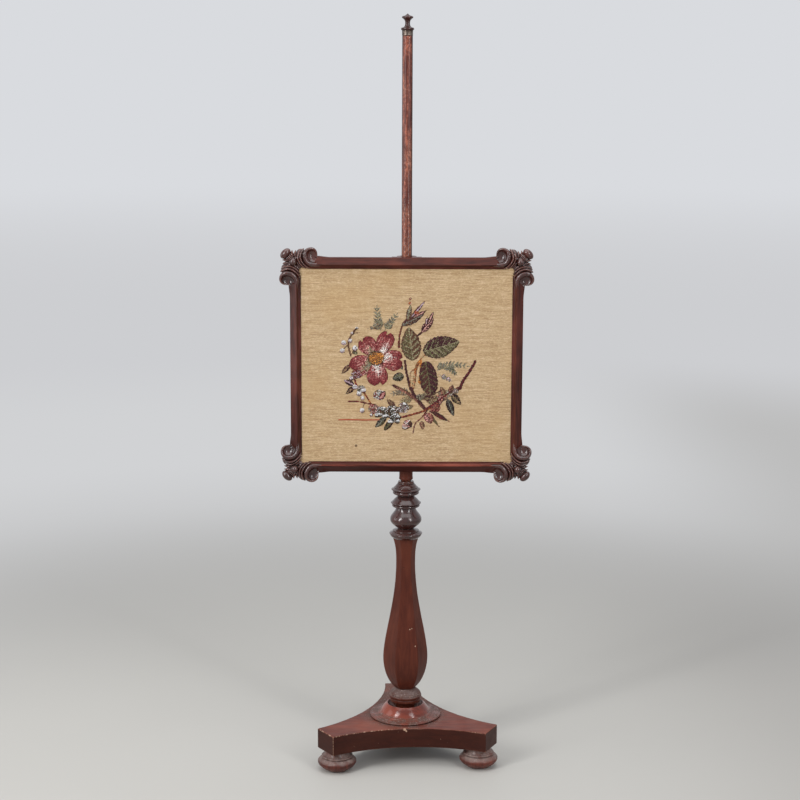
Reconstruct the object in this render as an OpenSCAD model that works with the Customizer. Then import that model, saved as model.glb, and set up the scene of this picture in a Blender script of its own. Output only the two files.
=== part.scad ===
// Pole screen: a needlework panel in a carved frame that slides and turns on a pole,
// over a faceted baluster column on a three-cornered plinth with bun feet.
// Millimetres, +Z up, origin on the pole axis at floor level, the panel faces -Y.

/* [Base] */
// Height of a bun foot, floor to plinth
foot_h = 42; // [32:1:60]
// Greatest radius of a bun foot
foot_r = 39; // [32:0.5:46]
// Middle of a foot in from the flat end of its plinth corner
foot_inset = 28; // [20:1:50]
// Diameter of the dowel on top of a foot
foot_dowel_d = 18; // [10:1:24]
// Length of the dowel on top of a foot
foot_dowel_h = 20; // [10:1:26]
// Thickness of the plinth
plinth_h = 40; // [32:1:60]
// Pole axis to the flat end of a plinth corner
plinth_reach = 194; // [175:1:230]
// Width of the flat end of a plinth corner
plinth_end_w = 59; // [40:1:70]
// Pole axis to the middle of a hollow plinth side
plinth_waist = 84; // [78:1:110]
// Turn of the base and column about the pole axis, degrees
base_turn = 4; // [-30:1:30]

/* [Dish collar] */
// Radius of the flange that lies on the plinth
dish_r = 72.5; // [62:0.5:77]
// Thickness of the flange at its rim
dish_rim_h = 5; // [3:0.5:8]
// Height of the swollen bead above the plinth
dish_h = 27; // [20:1:36]
// Greatest radius of the swollen bead
dish_bead_r = 48.5; // [44:0.5:56]
// Radius of the open mouth
dish_mouth_r = 35.5; // [34.5:0.5:40]
// Thickness of the floor that the column stands on
dish_floor_h = 8; // [6:1:14]

/* [Column] */
// Height of the turned ring under the baluster
ring_h = 51.5; // [44:0.5:64]
// Radius of the ring at its lip
ring_r = 33.3; // [29:0.1:34]
// Radius of the ring's stem inside the dish
ring_stem_r = 19; // [17:0.5:24]
// Height of the faceted baluster
baluster_h = 318; // [260:1:380]
// Width of the baluster across corners at its bulge
bulge_w = 92; // [70:1:110]
// Height of the bulge above the baluster's foot
bulge_at = 67; // [50:1:90]
// Width across corners at the baluster's foot
baluster_foot_w = 43; // [38:1:56]
// Width across corners at the waist
waist_w = 39; // [34:1:50]
// Height of the waist above the baluster's foot
waist_at = 269; // [200:1:290]
// Width across corners under the collar
baluster_top_w = 53; // [44:1:60]
// Diameter of the tenon that goes down through the base
base_tenon_d = 28; // [22:1:32]
// Height of the turned collar
collar_h = 19.5; // [15:0.5:28]
// Radius of the collar at its rim
collar_r = 33.2; // [30:0.2:40]
// Height of the turned bulb
bulb_h = 43.5; // [34:0.5:56]
// Radius of the bulb
bulb_r = 31.8; // [26:0.2:38]
// Radius of the shoulder on top of the bulb
shoulder_r = 20; // [17:0.5:24]
// Height of the lower ring
low_ring_h = 24.5; // [18:0.5:32]
// Radius of the lower ring
low_ring_r = 30.6; // [26:0.2:38]
// Height of the upper ring
top_ring_h = 30; // [24:0.5:40]
// Radius of the upper ring
top_ring_r = 29.5; // [26:0.2:38]
// Radius of the necks between the turned members
neck_r = 16; // [14:0.5:18]
// Diameter of the capital's tenon in the baluster
capital_tenon_d = 18; // [12:1:22]
// Length of the capital's tenon
capital_tenon_h = 40; // [24:1:60]

/* [Pole] */
// Diameter of the pole
pole_d = 20.5; // [16:0.5:26]
// Length of the pole between column and finial
pole_length = 881; // [800:1:1000]
// Diameter of the pole's tenon in the column
pole_tenon_d = 14; // [10:0.5:18]
// Length of the pole's tenon
pole_tenon_h = 98; // [60:1:110]
// Diameter of the spigot under the finial
spigot_d = 9; // [6:0.5:10]
// Length of the spigot under the finial
spigot_h = 15; // [10:0.5:17]

/* [Finial] */
// Height of the ferrule band
ferrule_h = 12; // [9:0.5:16]
// Wall of the ferrule band
ferrule_wall = 1.6; // [1:0.1:2.4]
// Height of the turned finial above the ferrule
finial_h = 29.7; // [24:0.1:40]
// Radius of the finial's flare
flare_r = 12.5; // [11:0.1:18]
// Radius of the finial's neck
finial_neck_r = 5; // [4:0.1:7]
// Radius of the finial's disc
disc_r = 10.7; // [8:0.1:16]

/* [Screen] */
// Width of the opening in the frame
opening_w = 416; // [340:1:480]
// Height of the opening in the frame
opening_h = 386; // [320:1:460]
// Width of a rail or stile
rail_w = 22; // [18:0.5:30]
// Thickness of a rail or stile at its crest
rail_t = 22; // [19:0.5:30]
// Thickness of a rail at its edges
rail_edge_t = 17; // [15.5:0.5:19]
// Width of the rebate behind the inner edge
rebate_w = 8; // [6:0.5:10]
// Depth of the rebate from the back
rebate_t = 14; // [12:0.5:15]
// Length of a carved corner along a rail
corner_reach = 34; // [26:0.5:44]
// Rise of a carved corner past the rail's outer edge
corner_rise = 20; // [17:0.5:26]
// Radius of the crook at the end of a rail
crook_r = 10.7; // [8:0.1:13]
// Radius of the bud at a corner
bud_r = 9.8; // [7:0.1:12]
// Radius of the bead at a corner
bead_r = 6.5; // [4:0.1:8]
// Thickness of the needlework canvas
canvas_t = 1.5; // [1:0.1:2.5]
// Width of a strainer bar
strainer_w = 25; // [18:0.5:34]
// Thickness of the back board
board_t = 3.5; // [2.5:0.5:5]

/* [Slide and clamp] */
// Gap between the column and the sleeve at rest
rest_gap = 3; // [1:0.5:60]
// Wall of a sleeve
sleeve_wall = 3.2; // [2:0.1:5]
// Length of a sleeve
sleeve_h = 60; // [52:1:80]
// Length of the lower sleeve that shows under the rail
sleeve_drop = 21; // [10:1:24]
// Width of a bracket's ear on each side of its eye
ear_w = 10; // [9:0.5:16]
// Height of a bracket
bracket_h = 36; // [28:1:50]
// Thickness of a bracket's flange
bracket_flange_t = 9; // [6:0.5:13]
// Wall of a bracket round its sleeve
bracket_wall = 6; // [4:0.5:10]
// Gap between a sleeve and the back of the frame
back_gap = 2.5; // [1:0.5:8]
// Diameter of the clamp screw
clamp_d = 5; // [4:0.5:7]
// Diameter of the clamp screw's thumb plate
thumb_d = 22; // [16:1:28]
// Diameter of a bracket screw
screw_d = 3.5; // [3:0.5:4.5]
// Length of a bracket screw under its head
screw_length = 22; // [18:1:24]
// Radial clearance of a running fit
fit = 0.05; // [0.02:0.01:0.1]

/* [Hidden] */
$fn = 96;

// Steps along a curved stretch of a profile
steps = 10;
// Gap between a seated moving piece and its seat
seat = 0.3;
// Overrun of a cut past the face that it opens
over = 1;

// Colours as the object shows them
mahogany = [0.36, 0.19, 0.15];
red_mahogany = [0.50, 0.25, 0.18];
pole_wood = [0.55, 0.33, 0.22];
plain_wood = [0.70, 0.56, 0.40];
canvas_tan = [0.76, 0.65, 0.51];
brass = [0.72, 0.58, 0.32];
iron = [0.30, 0.29, 0.28];

// Heights of the stack, floor upwards
plinth_z = foot_h;
foot_reach = plinth_reach - foot_inset;
dish_z = plinth_z + plinth_h;
ring_z = dish_z + dish_floor_h;
baluster_z = ring_z + ring_h;
capital_z = baluster_z + baluster_h;
bulb_z = capital_z + collar_h;
low_ring_z = bulb_z + bulb_h;
top_ring_z = low_ring_z + low_ring_h;
column_top = top_ring_z + top_ring_h;
pole_z = column_top + seat;
ferrule_z = pole_z + pole_length;
finial_z = ferrule_z + ferrule_h;

// Base fixings under the plinth
well_r = 18;
well_h = 10;
washer_t = 2.5;
bolt_d = 8;
bolt_h = 44;
bolt_head_w = 13;
bolt_head_h = 5.5;
base_tenon_r = base_tenon_d / 2;
tenon_foot_z = plinth_z + well_h;

// Pole, sleeves and the plane of the frame's back
pole_r = pole_d / 2;
sleeve_bore_r = pole_r + fit;
sleeve_r = sleeve_bore_r + sleeve_wall;
bracket_r = sleeve_r + bracket_wall;
bracket_w = 2 * (bracket_r + ear_w);
back_y = -(sleeve_r + back_gap);
lower_sleeve_z = column_top + rest_gap;
rail_bottom_z = lower_sleeve_z + sleeve_drop;
frame_mid_z = rail_bottom_z + rail_w + opening_h / 2;
rail_top_z = frame_mid_z + opening_h / 2 + rail_w;
upper_sleeve_z = rail_top_z - sleeve_h;
upper_bracket_z = rail_top_z - bracket_h;
lower_bracket_z = rail_bottom_z;

// Layers in the rebate, front to back
layer_gap = 0.5;
strainer_t = rebate_t - canvas_t - board_t - layer_gap;
canvas_y = back_y - rebate_t;
strainer_y = canvas_y + canvas_t;
board_y = strainer_y + strainer_t;
inset_w = opening_w + 2 * (rebate_w - layer_gap);
inset_h = opening_h + 2 * (rebate_w - layer_gap);

// Clamp screw, on the back of the upper bracket
clamp_z = upper_bracket_z + bracket_h / 2;
clamp_r = clamp_d / 2;
bush_r = clamp_r + 2.5;
bush_flange_r = bush_r + 2;
bush_flange_t = 1.5;
clamp_tip_y = pole_r + seat;
bush_back_y = bracket_r + bush_flange_t;
shank_gap = 4;
collar_t = 3;
thumb_t = 3.5;

// Bracket screws go into the solid part of a rail, outside the rebate
screw_x = bracket_r + ear_w / 2;
screw_inset = (rail_w - rebate_w) / 2;
screw_head_d = 2 * screw_d;
screw_bite = screw_length - bracket_flange_t;
screw_head_h = 1.6;
brad_d = 1.4;
brad_head_d = 3.2;
brad_head_h = 0.4;
brad_h = board_t + strainer_t - 2;

// Points of a turned profile as [radius, height]
// Convex quarter: the radius grows fast, then settles at the end
function swell(r0, z0, r1, z1) = [for (i = [0:steps])
    [r0 + (r1 - r0) * sin(90 * i / steps), z0 + (z1 - z0) * i / steps]];
// Hollow quarter: the radius settles at the start, then moves fast
function hollow(r0, z0, r1, z1) = [for (i = [0:steps])
    [r0 + (r1 - r0) * (1 - cos(90 * i / steps)), z0 + (z1 - z0) * i / steps]];
// Double curve: the radius settles at both ends
function ogee(r0, z0, r1, z1) = [for (i = [0:steps])
    [r0 + (r1 - r0) * (1 - cos(180 * i / steps)) / 2, z0 + (z1 - z0) * i / steps]];
// Half round between two heights at one radius
function half_round(r, z0, z1, bulge) = [for (i = [0:steps])
    [r + bulge * sin(180 * i / steps), z0 + (z1 - z0) * (1 - cos(180 * i / steps)) / 2]];

// Baluster radius across corners at height z above its foot
function below_bulge(z) =
    let(depth = bulge_at / sqrt(1 - pow(baluster_foot_w / bulge_w, 2)))
    bulge_w / 2 * sqrt(1 - pow((bulge_at - z) / depth, 2));
function above_bulge(z) =
    let(t = pow((z - bulge_at) / (waist_at - bulge_at), 0.8))
    waist_w / 2 + (bulge_w - waist_w) / 2 * (1 + cos(180 * t)) / 2;
function above_waist(z) =
    let(t = (z - waist_at) / (baluster_h - waist_at))
    waist_w / 2 + (baluster_top_w - waist_w) / 2 * pow(t, 2.6);
function baluster_r(z) = z < bulge_at ? below_bulge(z) : z < waist_at ? above_bulge(z) : above_waist(z);

module turned(profile) rotate_extrude() polygon(profile);
module in_frame() translate([0, back_y, frame_mid_z]) children();
module base_side(k) rotate([0, 0, base_turn + 90 + 120 * k]) children();

// Plan of the plinth: three flat ends joined by hollow sides
module plinth_plan() {
    end_half = plinth_end_w / 2;
    // One hollow side runs between the corners of two ends, 60 degrees to each side of its middle
    chord_half = plinth_reach * sin(60) - end_half * cos(60);
    chord_at = plinth_reach * cos(60) + end_half * sin(60);
    dip = chord_at - plinth_waist;
    side_r = (pow(chord_half, 2) + pow(dip, 2)) / (2 * dip);
    // The ends start wider, and the hollow sides cut them to width
    uncut_half = 1.2 * end_half;
    difference() {
        polygon([for (k = [0:2], side = [-1, 1])
            let(a = base_turn + 90 + 120 * k)
            [plinth_reach * cos(a) - side * uncut_half * sin(a),
             plinth_reach * sin(a) + side * uncut_half * cos(a)]]);
        for (k = [0:2])
            rotate(base_turn + 150 + 120 * k) translate([plinth_waist + side_r, 0]) circle(r = side_r, $fn = 240);
    }
}

module base_plinth() color(red_mahogany) difference() {
    translate([0, 0, plinth_z]) linear_extrude(plinth_h) plinth_plan();
    translate([0, 0, plinth_z - over]) cylinder(r = base_tenon_r + fit, h = plinth_h + 2 * over);
    translate([0, 0, plinth_z - over]) cylinder(r = well_r, h = well_h + over);
    for (k = [0:2])
        base_side(k) translate([foot_reach, 0, plinth_z - over])
            cylinder(d = foot_dowel_d + 2 * fit, h = foot_dowel_h + over + seat);
}

// Bun foot: flat pad, fat bead, thin ring and neck under the plinth, dowel above
module foot(k) color(mahogany) base_side(k) translate([foot_reach, 0, 0]) turned(concat(
    [[0, 0]],
    swell(0.6 * foot_r, 0, foot_r, 0.38 * foot_h),
    hollow(foot_r, 0.38 * foot_h, 0.76 * foot_r, 0.70 * foot_h),
    half_round(0.76 * foot_r, 0.70 * foot_h, 0.80 * foot_h, 0.06 * foot_r),
    [[0.64 * foot_r, 0.83 * foot_h], [0.64 * foot_r, foot_h]],
    [[foot_dowel_d / 2, foot_h], [foot_dowel_d / 2, foot_h + foot_dowel_h], [0, foot_h + foot_dowel_h]]));

// Dish: stepped flange, swollen bead and an open mouth with a sloping wall
module dish_collar() color(red_mahogany) translate([0, 0, dish_z]) turned(concat(
    [[base_tenon_r + fit, 0], [dish_r - 1, 0], [dish_r, 1], [dish_r, dish_rim_h - 1.5]],
    [[dish_r - 1.5, dish_rim_h], [dish_r - 5, dish_rim_h], [dish_r - 6.5, dish_rim_h + 1.2]],
    hollow(dish_r - 6.5, dish_rim_h + 1.2, dish_bead_r - 1, dish_rim_h + 2.2),
    half_round(dish_bead_r - 1.5, dish_rim_h + 2.2, dish_rim_h + 10, 1.5),
    hollow(dish_bead_r - 1.5, dish_rim_h + 10, dish_mouth_r + 3, dish_h),
    [[dish_mouth_r + 0.5, dish_h - 0.5], [dish_mouth_r, dish_h - 2]],
    [[ring_stem_r + 4, dish_floor_h], [base_tenon_r + fit, dish_floor_h]]));

// Ring between dish and baluster: stem, lip with a worn edge, double curve up to the baluster
module column_ring() color(mahogany) translate([0, 0, ring_z]) turned(concat(
    [[base_tenon_r + fit, 0], [ring_stem_r, 0], [ring_stem_r, 0.30 * ring_h]],
    hollow(ring_stem_r, 0.30 * ring_h, 0.76 * ring_r, 0.42 * ring_h),
    [[0.90 * ring_r, 0.46 * ring_h], [0.96 * ring_r, 0.52 * ring_h]],
    half_round(0.96 * ring_r, 0.54 * ring_h, 0.68 * ring_h, 0.04 * ring_r),
    ogee(0.95 * ring_r, 0.70 * ring_h, baluster_foot_w / 2, ring_h),
    [[base_tenon_r + fit, ring_h]]));

// One pair of opposite facets of the baluster, as a slab with curved sides
module facet_slab() {
    rows = 30;
    reach = bulge_w;
    right = [for (i = [0:rows]) [baluster_r(baluster_h * i / rows) * cos(30), baluster_h * i / rows]];
    left = [for (i = [rows:-1:0]) [-right[i][0], right[i][1]]];
    rotate([90, 0, 0]) translate([0, 0, -reach]) linear_extrude(2 * reach) polygon(concat(right, left));
}

module column_baluster() color(mahogany) rotate([0, 0, base_turn + 90]) {
    difference() {
        union() {
            translate([0, 0, baluster_z]) intersection() {
                facet_slab();
                rotate([0, 0, 60]) facet_slab();
                rotate([0, 0, 120]) facet_slab();
            }
            translate([0, 0, tenon_foot_z]) cylinder(r = base_tenon_r, h = baluster_z - tenon_foot_z + over);
        }
        translate([0, 0, capital_z - capital_tenon_h - seat])
            cylinder(d = capital_tenon_d + 2 * fit, h = capital_tenon_h + seat + over);
        translate([0, 0, tenon_foot_z - over]) cylinder(d = bolt_d + 2 * fit, h = bolt_h + over + seat);
    }
}

// Capital: collar, bulb and two rings round the socket for the pole
module column_capital() color(mahogany) difference() {
    turned(concat(
        [[0, capital_z - capital_tenon_h], [capital_tenon_d / 2, capital_z - capital_tenon_h]],
        [[capital_tenon_d / 2, capital_z], [baluster_top_w / 2, capital_z]],
        swell(baluster_top_w / 2, capital_z, collar_r, capital_z + 0.40 * collar_h),
        [[collar_r, capital_z + 0.50 * collar_h], [collar_r - 1.5, capital_z + 0.56 * collar_h]],
        [[neck_r, bulb_z - 1], [neck_r, bulb_z]],
        swell(neck_r, bulb_z, bulb_r, bulb_z + 0.44 * bulb_h),
        ogee(bulb_r, bulb_z + 0.44 * bulb_h, shoulder_r, low_ring_z),
        [[shoulder_r, low_ring_z + 1.5]],
        swell(shoulder_r, low_ring_z + 1.5, low_ring_r, low_ring_z + 0.38 * low_ring_h),
        [[low_ring_r, low_ring_z + 0.45 * low_ring_h], [low_ring_r - 1.5, low_ring_z + 0.50 * low_ring_h]],
        ogee(low_ring_r - 1.5, low_ring_z + 0.53 * low_ring_h, neck_r, top_ring_z),
        swell(neck_r, top_ring_z + 0.5, top_ring_r, top_ring_z + 0.38 * top_ring_h),
        [[top_ring_r, top_ring_z + 0.44 * top_ring_h], [top_ring_r - 1.5, top_ring_z + 0.48 * top_ring_h]],
        ogee(top_ring_r - 1.5, top_ring_z + 0.50 * top_ring_h, neck_r, column_top - 1),
        [[neck_r - 1, column_top], [0, column_top]]));
    translate([0, 0, pole_z - pole_tenon_h - seat])
        cylinder(d = pole_tenon_d + 2 * fit, h = pole_tenon_h + seat + over);
}

module base_washer() color(iron) translate([0, 0, tenon_foot_z - washer_t]) difference() {
    cylinder(r = well_r - 1, h = washer_t);
    translate([0, 0, -over]) cylinder(d = bolt_d + 2 * fit, h = washer_t + 2 * over);
}

module base_bolt() color(iron) translate([0, 0, tenon_foot_z - washer_t]) {
    translate([0, 0, -bolt_head_h / 2]) cube([bolt_head_w, bolt_head_w, bolt_head_h], center = true);
    translate([0, 0, -over]) cylinder(d = bolt_d, h = washer_t + bolt_h + over);
}

module pole() color(pole_wood) turned([
    [0, pole_z - pole_tenon_h], [pole_tenon_d / 2, pole_z - pole_tenon_h], [pole_tenon_d / 2, pole_z],
    [pole_r, pole_z], [pole_r, ferrule_z - seat], [spigot_d / 2, ferrule_z - seat],
    [spigot_d / 2, ferrule_z + spigot_h], [0, ferrule_z + spigot_h]]);

ferrule_r = pole_r + 0.6;
plug_r = ferrule_r - ferrule_wall;
module ferrule() color(brass) translate([0, 0, ferrule_z]) turned(concat(
    [[plug_r, 0], [ferrule_r, 0]],
    half_round(ferrule_r, 0.15 * ferrule_h, 0.35 * ferrule_h, 0.4),
    half_round(ferrule_r, 0.65 * ferrule_h, 0.85 * ferrule_h, 0.4),
    [[ferrule_r, ferrule_h], [plug_r, ferrule_h]]));

// Finial: plug in the ferrule, flare, neck and a disc with a pointed button
module finial() color(mahogany) difference() {
    translate([0, 0, finial_z]) turned(concat(
        [[0, -ferrule_h], [plug_r, -ferrule_h], [plug_r, 0], [ferrule_r, 0]],
        swell(ferrule_r, 0, flare_r, 0.09 * finial_h),
        ogee(flare_r, 0.11 * finial_h, finial_neck_r, 0.42 * finial_h),
        hollow(finial_neck_r, 0.50 * finial_h, 0.60 * disc_r, 0.71 * finial_h),
        swell(0.60 * disc_r, 0.71 * finial_h, disc_r, 0.83 * finial_h),
        [[disc_r, 0.85 * finial_h]],
        hollow(0.9 * disc_r, 0.88 * finial_h, 0.5 * disc_r, 0.93 * finial_h),
        [[0.45 * disc_r, 0.96 * finial_h], [0, finial_h]]));
    translate([0, 0, ferrule_z - over]) cylinder(d = spigot_d + 2 * fit, h = spigot_h + over + seat);
}

// Section of a rail: [distance out from the opening, height from the back]
module rail_section() {
    crest_r = (pow(rail_w / 2, 2) + pow(rail_t - rail_edge_t, 2)) / (2 * (rail_t - rail_edge_t));
    difference() {
        intersection() {
            square([rail_w, rail_t]);
            translate([rail_w / 2, rail_t - crest_r]) circle(r = crest_r, $fn = 180);
        }
        translate([-over, -over]) square([rebate_w + over, rebate_t + over]);
    }
}

// A run of the section along +X, its inner edge on the X axis
module rail_run(length) rotate([180, -90, 0]) linear_extrude(length) rail_section();

module screw_holes(z) for (side = [-1, 1])
    translate([side * screw_x, back_y - screw_bite - seat, z]) rotate([-90, 0, 0])
        cylinder(d = screw_d + 2 * fit, h = screw_bite + seat + over);

rail_length = opening_w - 2 * corner_reach;
stile_length = opening_h - 2 * corner_reach;

module top_rail() color(mahogany) difference() {
    in_frame() translate([-rail_length / 2, 0, opening_h / 2]) rail_run(rail_length);
    screw_holes(rail_top_z - screw_inset);
}

module bottom_rail() color(mahogany) difference() {
    in_frame() mirror([0, 0, 1]) translate([-rail_length / 2, 0, opening_h / 2]) rail_run(rail_length);
    screw_holes(rail_bottom_z + screw_inset);
}

module stile() in_frame() translate([-opening_w / 2, 0, -stile_length / 2])
    rotate([0, 0, 180]) linear_extrude(stile_length) rail_section();
module left_stile() color(mahogany) stile();
module right_stile() color(mahogany) mirror([1, 0, 0]) stile();

// Carved corner about the opening's upper left corner: +X along the rail, -Z along the stile
module corner_half() {
    crook_at = [corner_reach - crook_r, rail_w + corner_rise - crook_r];
    lobe_r = 0.8 * crook_r;
    lobe_at = [crook_at[0] - crook_r - 0.8 * lobe_r, rail_w + corner_rise - lobe_r];
    lift = 0.15 * rail_t;
    translate([-rail_w, 0, 0]) rail_run(rail_w + corner_reach);
    difference() {
        translate([crook_at[0], -lift, crook_at[1]]) rotate([90, 0, 0]) cylinder(r = crook_r, h = rail_t - lift);
        translate([crook_at[0], -rail_t - 0.25 * crook_r, crook_at[1]]) sphere(r = 0.75 * crook_r);
    }
    translate([lobe_at[0], -lift, lobe_at[1]]) rotate([90, 0, 0]) cylinder(r = lobe_r, h = rail_t - 2 * lift);
    translate([lobe_at[0], -rail_t + 2 * lift, lobe_at[1]]) sphere(r = lobe_r);
}

module corner_carving() {
    bud_at = rail_w + corner_rise - bud_r - 2;
    bead_at = 0.6 * rail_w;
    fan_at = 0.4 * rail_w;
    fan_r = rail_w + 0.55 * corner_rise - fan_at;
    difference() {
        union() {
            corner_half();
            rotate([0, 90, 0]) mirror([0, 0, 1]) corner_half();
            translate([-bud_at, -0.55 * rail_t, bud_at]) sphere(r = bud_r);
            translate([-bead_at, -0.55 * rail_t, bead_at]) rotate([0, -45, 0])
                cylinder(r = 0.82 * bud_r, h = (bud_at - bead_at) * sqrt(2));
            translate([-bead_at, -rail_t, bead_at]) sphere(r = bead_r);
            translate([-fan_at, -0.25 * rail_t, fan_at]) rotate([90, 0, 0]) cylinder(r = fan_r, h = 0.5 * rail_t);
        }
        // The opening and the rebate behind it
        translate([0, -2 * rail_t, -corner_reach - over])
            cube([corner_reach + over, 2 * rail_t + over, corner_reach + over]);
        translate([-rebate_w, -rebate_t, -corner_reach - over])
            cube([rebate_w + corner_reach + over, rebate_t + over, rebate_w + corner_reach + over]);
    }
}

module corner(right, bottom) color(mahogany) in_frame() mirror([right, 0, 0]) mirror([0, 0, bottom])
    translate([-opening_w / 2, 0, opening_h / 2]) corner_carving();

module needlework_canvas() color(canvas_tan)
    translate([-inset_w / 2, canvas_y, frame_mid_z - inset_h / 2]) cube([inset_w, canvas_t, inset_h]);

// Points where brads go through the board into the strainers: [x, z] about the frame's middle
brad_x = inset_w / 2 - strainer_w / 2;
brad_z = inset_h / 2 - strainer_w / 2;
brad_places = concat(
    [for (i = [-2:2], side = [-1, 1]) [i * brad_x / 2.5, side * brad_z]],
    [for (i = [-1:1], side = [-1, 1]) [side * brad_x, i * brad_z / 1.8]]);

module brad_shanks(gap) for (p = brad_places)
    translate([p[0], board_y + board_t - brad_h, frame_mid_z + p[1]]) rotate([-90, 0, 0])
        cylinder(d = brad_d + 2 * gap, h = brad_h + 2 * gap);

module strainer_bar(w, h, x, z) color(plain_wood) difference() {
    translate([x - w / 2, strainer_y, frame_mid_z + z - h / 2]) cube([w, strainer_t, h]);
    brad_shanks(fit);
}
module strainer_top() strainer_bar(inset_w, strainer_w, 0, brad_z);
module strainer_bottom() strainer_bar(inset_w, strainer_w, 0, -brad_z);
module strainer_left() strainer_bar(strainer_w, inset_h - 2 * strainer_w, -brad_x, 0);
module strainer_right() strainer_bar(strainer_w, inset_h - 2 * strainer_w, brad_x, 0);

module back_board() color(plain_wood) difference() {
    translate([-inset_w / 2, board_y, frame_mid_z - inset_h / 2]) cube([inset_w, board_t, inset_h]);
    brad_shanks(fit);
}

module board_brads() color(iron) {
    brad_shanks(0);
    for (p = brad_places)
        translate([p[0], board_y + board_t, frame_mid_z + p[1]]) rotate([-90, 0, 0])
            cylinder(d = brad_head_d, h = brad_head_h);
}

// Sleeve: plain tube, slightly flared and rounded at its foot
module sleeve(z) translate([0, 0, z]) turned([
    [sleeve_bore_r, 0], [sleeve_r - 1, 0], [sleeve_r, 1.2], [sleeve_r, sleeve_h], [sleeve_bore_r, sleeve_h]]);

module clamp_hole(r) translate([0, 0, clamp_z]) rotate([-90, 0, 0]) cylinder(r = r, h = 2 * bracket_r);

module upper_sleeve() color(mahogany) difference() {
    sleeve(upper_sleeve_z);
    clamp_hole(clamp_r + seat);
}
module lower_sleeve() color(mahogany) sleeve(lower_sleeve_z);

// Bracket: flange against the frame's back and an eye round the sleeve
module bracket(z, screw_z) difference() {
    union() {
        translate([-bracket_w / 2, back_y, z]) cube([bracket_w, bracket_flange_t, bracket_h]);
        translate([-bracket_r, back_y, z]) cube([2 * bracket_r, -back_y, bracket_h]);
        translate([0, 0, z]) cylinder(r = bracket_r, h = bracket_h);
    }
    translate([0, 0, z - over]) cylinder(r = sleeve_r + fit, h = bracket_h + 2 * over);
    // The eye stays behind the frame
    translate([-bracket_w, 2 * back_y, z - over]) cube([2 * bracket_w, -back_y, bracket_h + 2 * over]);
    for (side = [-1, 1])
        translate([side * screw_x, back_y - over, screw_z]) rotate([-90, 0, 0])
            cylinder(d = screw_d + 2 * fit, h = bracket_flange_t + 2 * over);
}

module upper_bracket() color(mahogany) difference() {
    bracket(upper_bracket_z, rail_top_z - screw_inset);
    clamp_hole(bush_r + fit);
}
module lower_bracket() color(mahogany) bracket(lower_bracket_z, rail_bottom_z + screw_inset);

module bracket_screws() color(iron)
    for (z = [rail_top_z - screw_inset, rail_bottom_z + screw_inset], side = [-1, 1])
        translate([side * screw_x, back_y + bracket_flange_t, z]) rotate([-90, 0, 0]) {
            translate([0, 0, -screw_length]) cylinder(d = screw_d, h = screw_length);
            cylinder(d = screw_head_d, h = screw_head_h);
        }

// Bush: brass liner of the clamp hole with a flange on the bracket's back
module clamp_bush() color(brass) difference() {
    translate([0, 0, clamp_z]) rotate([-90, 0, 0]) {
        translate([0, 0, sleeve_r + seat]) cylinder(r = bush_r, h = bracket_r - sleeve_r - seat);
        translate([0, 0, bracket_r]) cylinder(r = bush_flange_r, h = bush_flange_t);
    }
    clamp_hole_through();
}
module clamp_hole_through() translate([0, 0, clamp_z]) rotate([-90, 0, 0])
    cylinder(r = clamp_r + fit, h = 2 * bush_back_y);

// Clamp screw: shank that bears on the pole, collar and a flat thumb plate
module clamp_screw() color(brass) translate([0, 0, clamp_z]) rotate([-90, 0, 0]) {
    collar_y = bush_back_y + shank_gap;
    translate([0, 0, clamp_tip_y]) cylinder(r = clamp_r, h = collar_y - clamp_tip_y + over);
    translate([0, 0, collar_y]) cylinder(r = clamp_r + 2, h = collar_t);
    translate([-thumb_t / 2, 0, collar_y + collar_t + 0.42 * thumb_d]) rotate([0, 90, 0])
        cylinder(d = thumb_d, h = thumb_t);
}

base_plinth();
foot(1);  // foot_front_left
foot(2);  // foot_front_right
foot(0);  // foot_rear
dish_collar();
column_ring();
column_baluster();
column_capital();
base_washer();
base_bolt();
pole();
ferrule();
finial();
top_rail();
bottom_rail();
left_stile();
right_stile();
corner(0, 0);  // corner_top_left
corner(1, 0);  // corner_top_right
corner(0, 1);  // corner_bottom_left
corner(1, 1);  // corner_bottom_right
needlework_canvas();
strainer_top();
strainer_bottom();
strainer_left();
strainer_right();
back_board();
board_brads();
upper_sleeve();
lower_sleeve();
upper_bracket();
lower_bracket();
bracket_screws();
clamp_bush();
clamp_screw();
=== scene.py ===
"""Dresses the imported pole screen: turned and faceted wood, carved corners, needlework, light and camera.

Shapes are worked out in millimetres, in the frame of the CAD model, and written to meshes in metres.
"""

import math

import bpy
import numpy as np
from mathutils import Matrix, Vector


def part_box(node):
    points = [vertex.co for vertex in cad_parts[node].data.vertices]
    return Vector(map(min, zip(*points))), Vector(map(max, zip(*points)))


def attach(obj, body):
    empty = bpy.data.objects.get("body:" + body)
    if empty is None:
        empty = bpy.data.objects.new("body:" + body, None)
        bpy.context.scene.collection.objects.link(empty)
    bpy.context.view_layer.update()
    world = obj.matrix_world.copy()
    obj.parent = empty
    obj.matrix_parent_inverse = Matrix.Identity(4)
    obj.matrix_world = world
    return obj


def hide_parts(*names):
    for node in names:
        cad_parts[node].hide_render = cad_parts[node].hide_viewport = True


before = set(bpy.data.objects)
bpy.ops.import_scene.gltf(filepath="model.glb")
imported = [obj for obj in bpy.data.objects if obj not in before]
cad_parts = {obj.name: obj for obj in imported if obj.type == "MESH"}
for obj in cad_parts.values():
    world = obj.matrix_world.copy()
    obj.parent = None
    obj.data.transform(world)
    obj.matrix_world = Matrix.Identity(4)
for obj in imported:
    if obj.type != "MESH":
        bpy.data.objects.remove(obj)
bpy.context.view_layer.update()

MM = 0.001
PER_METRE = 1000


def span(node):
    """Lowest and highest corner of a CAD node, in millimetres."""
    low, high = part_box(node)
    return PER_METRE * np.array(low), PER_METRE * np.array(high)


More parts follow.
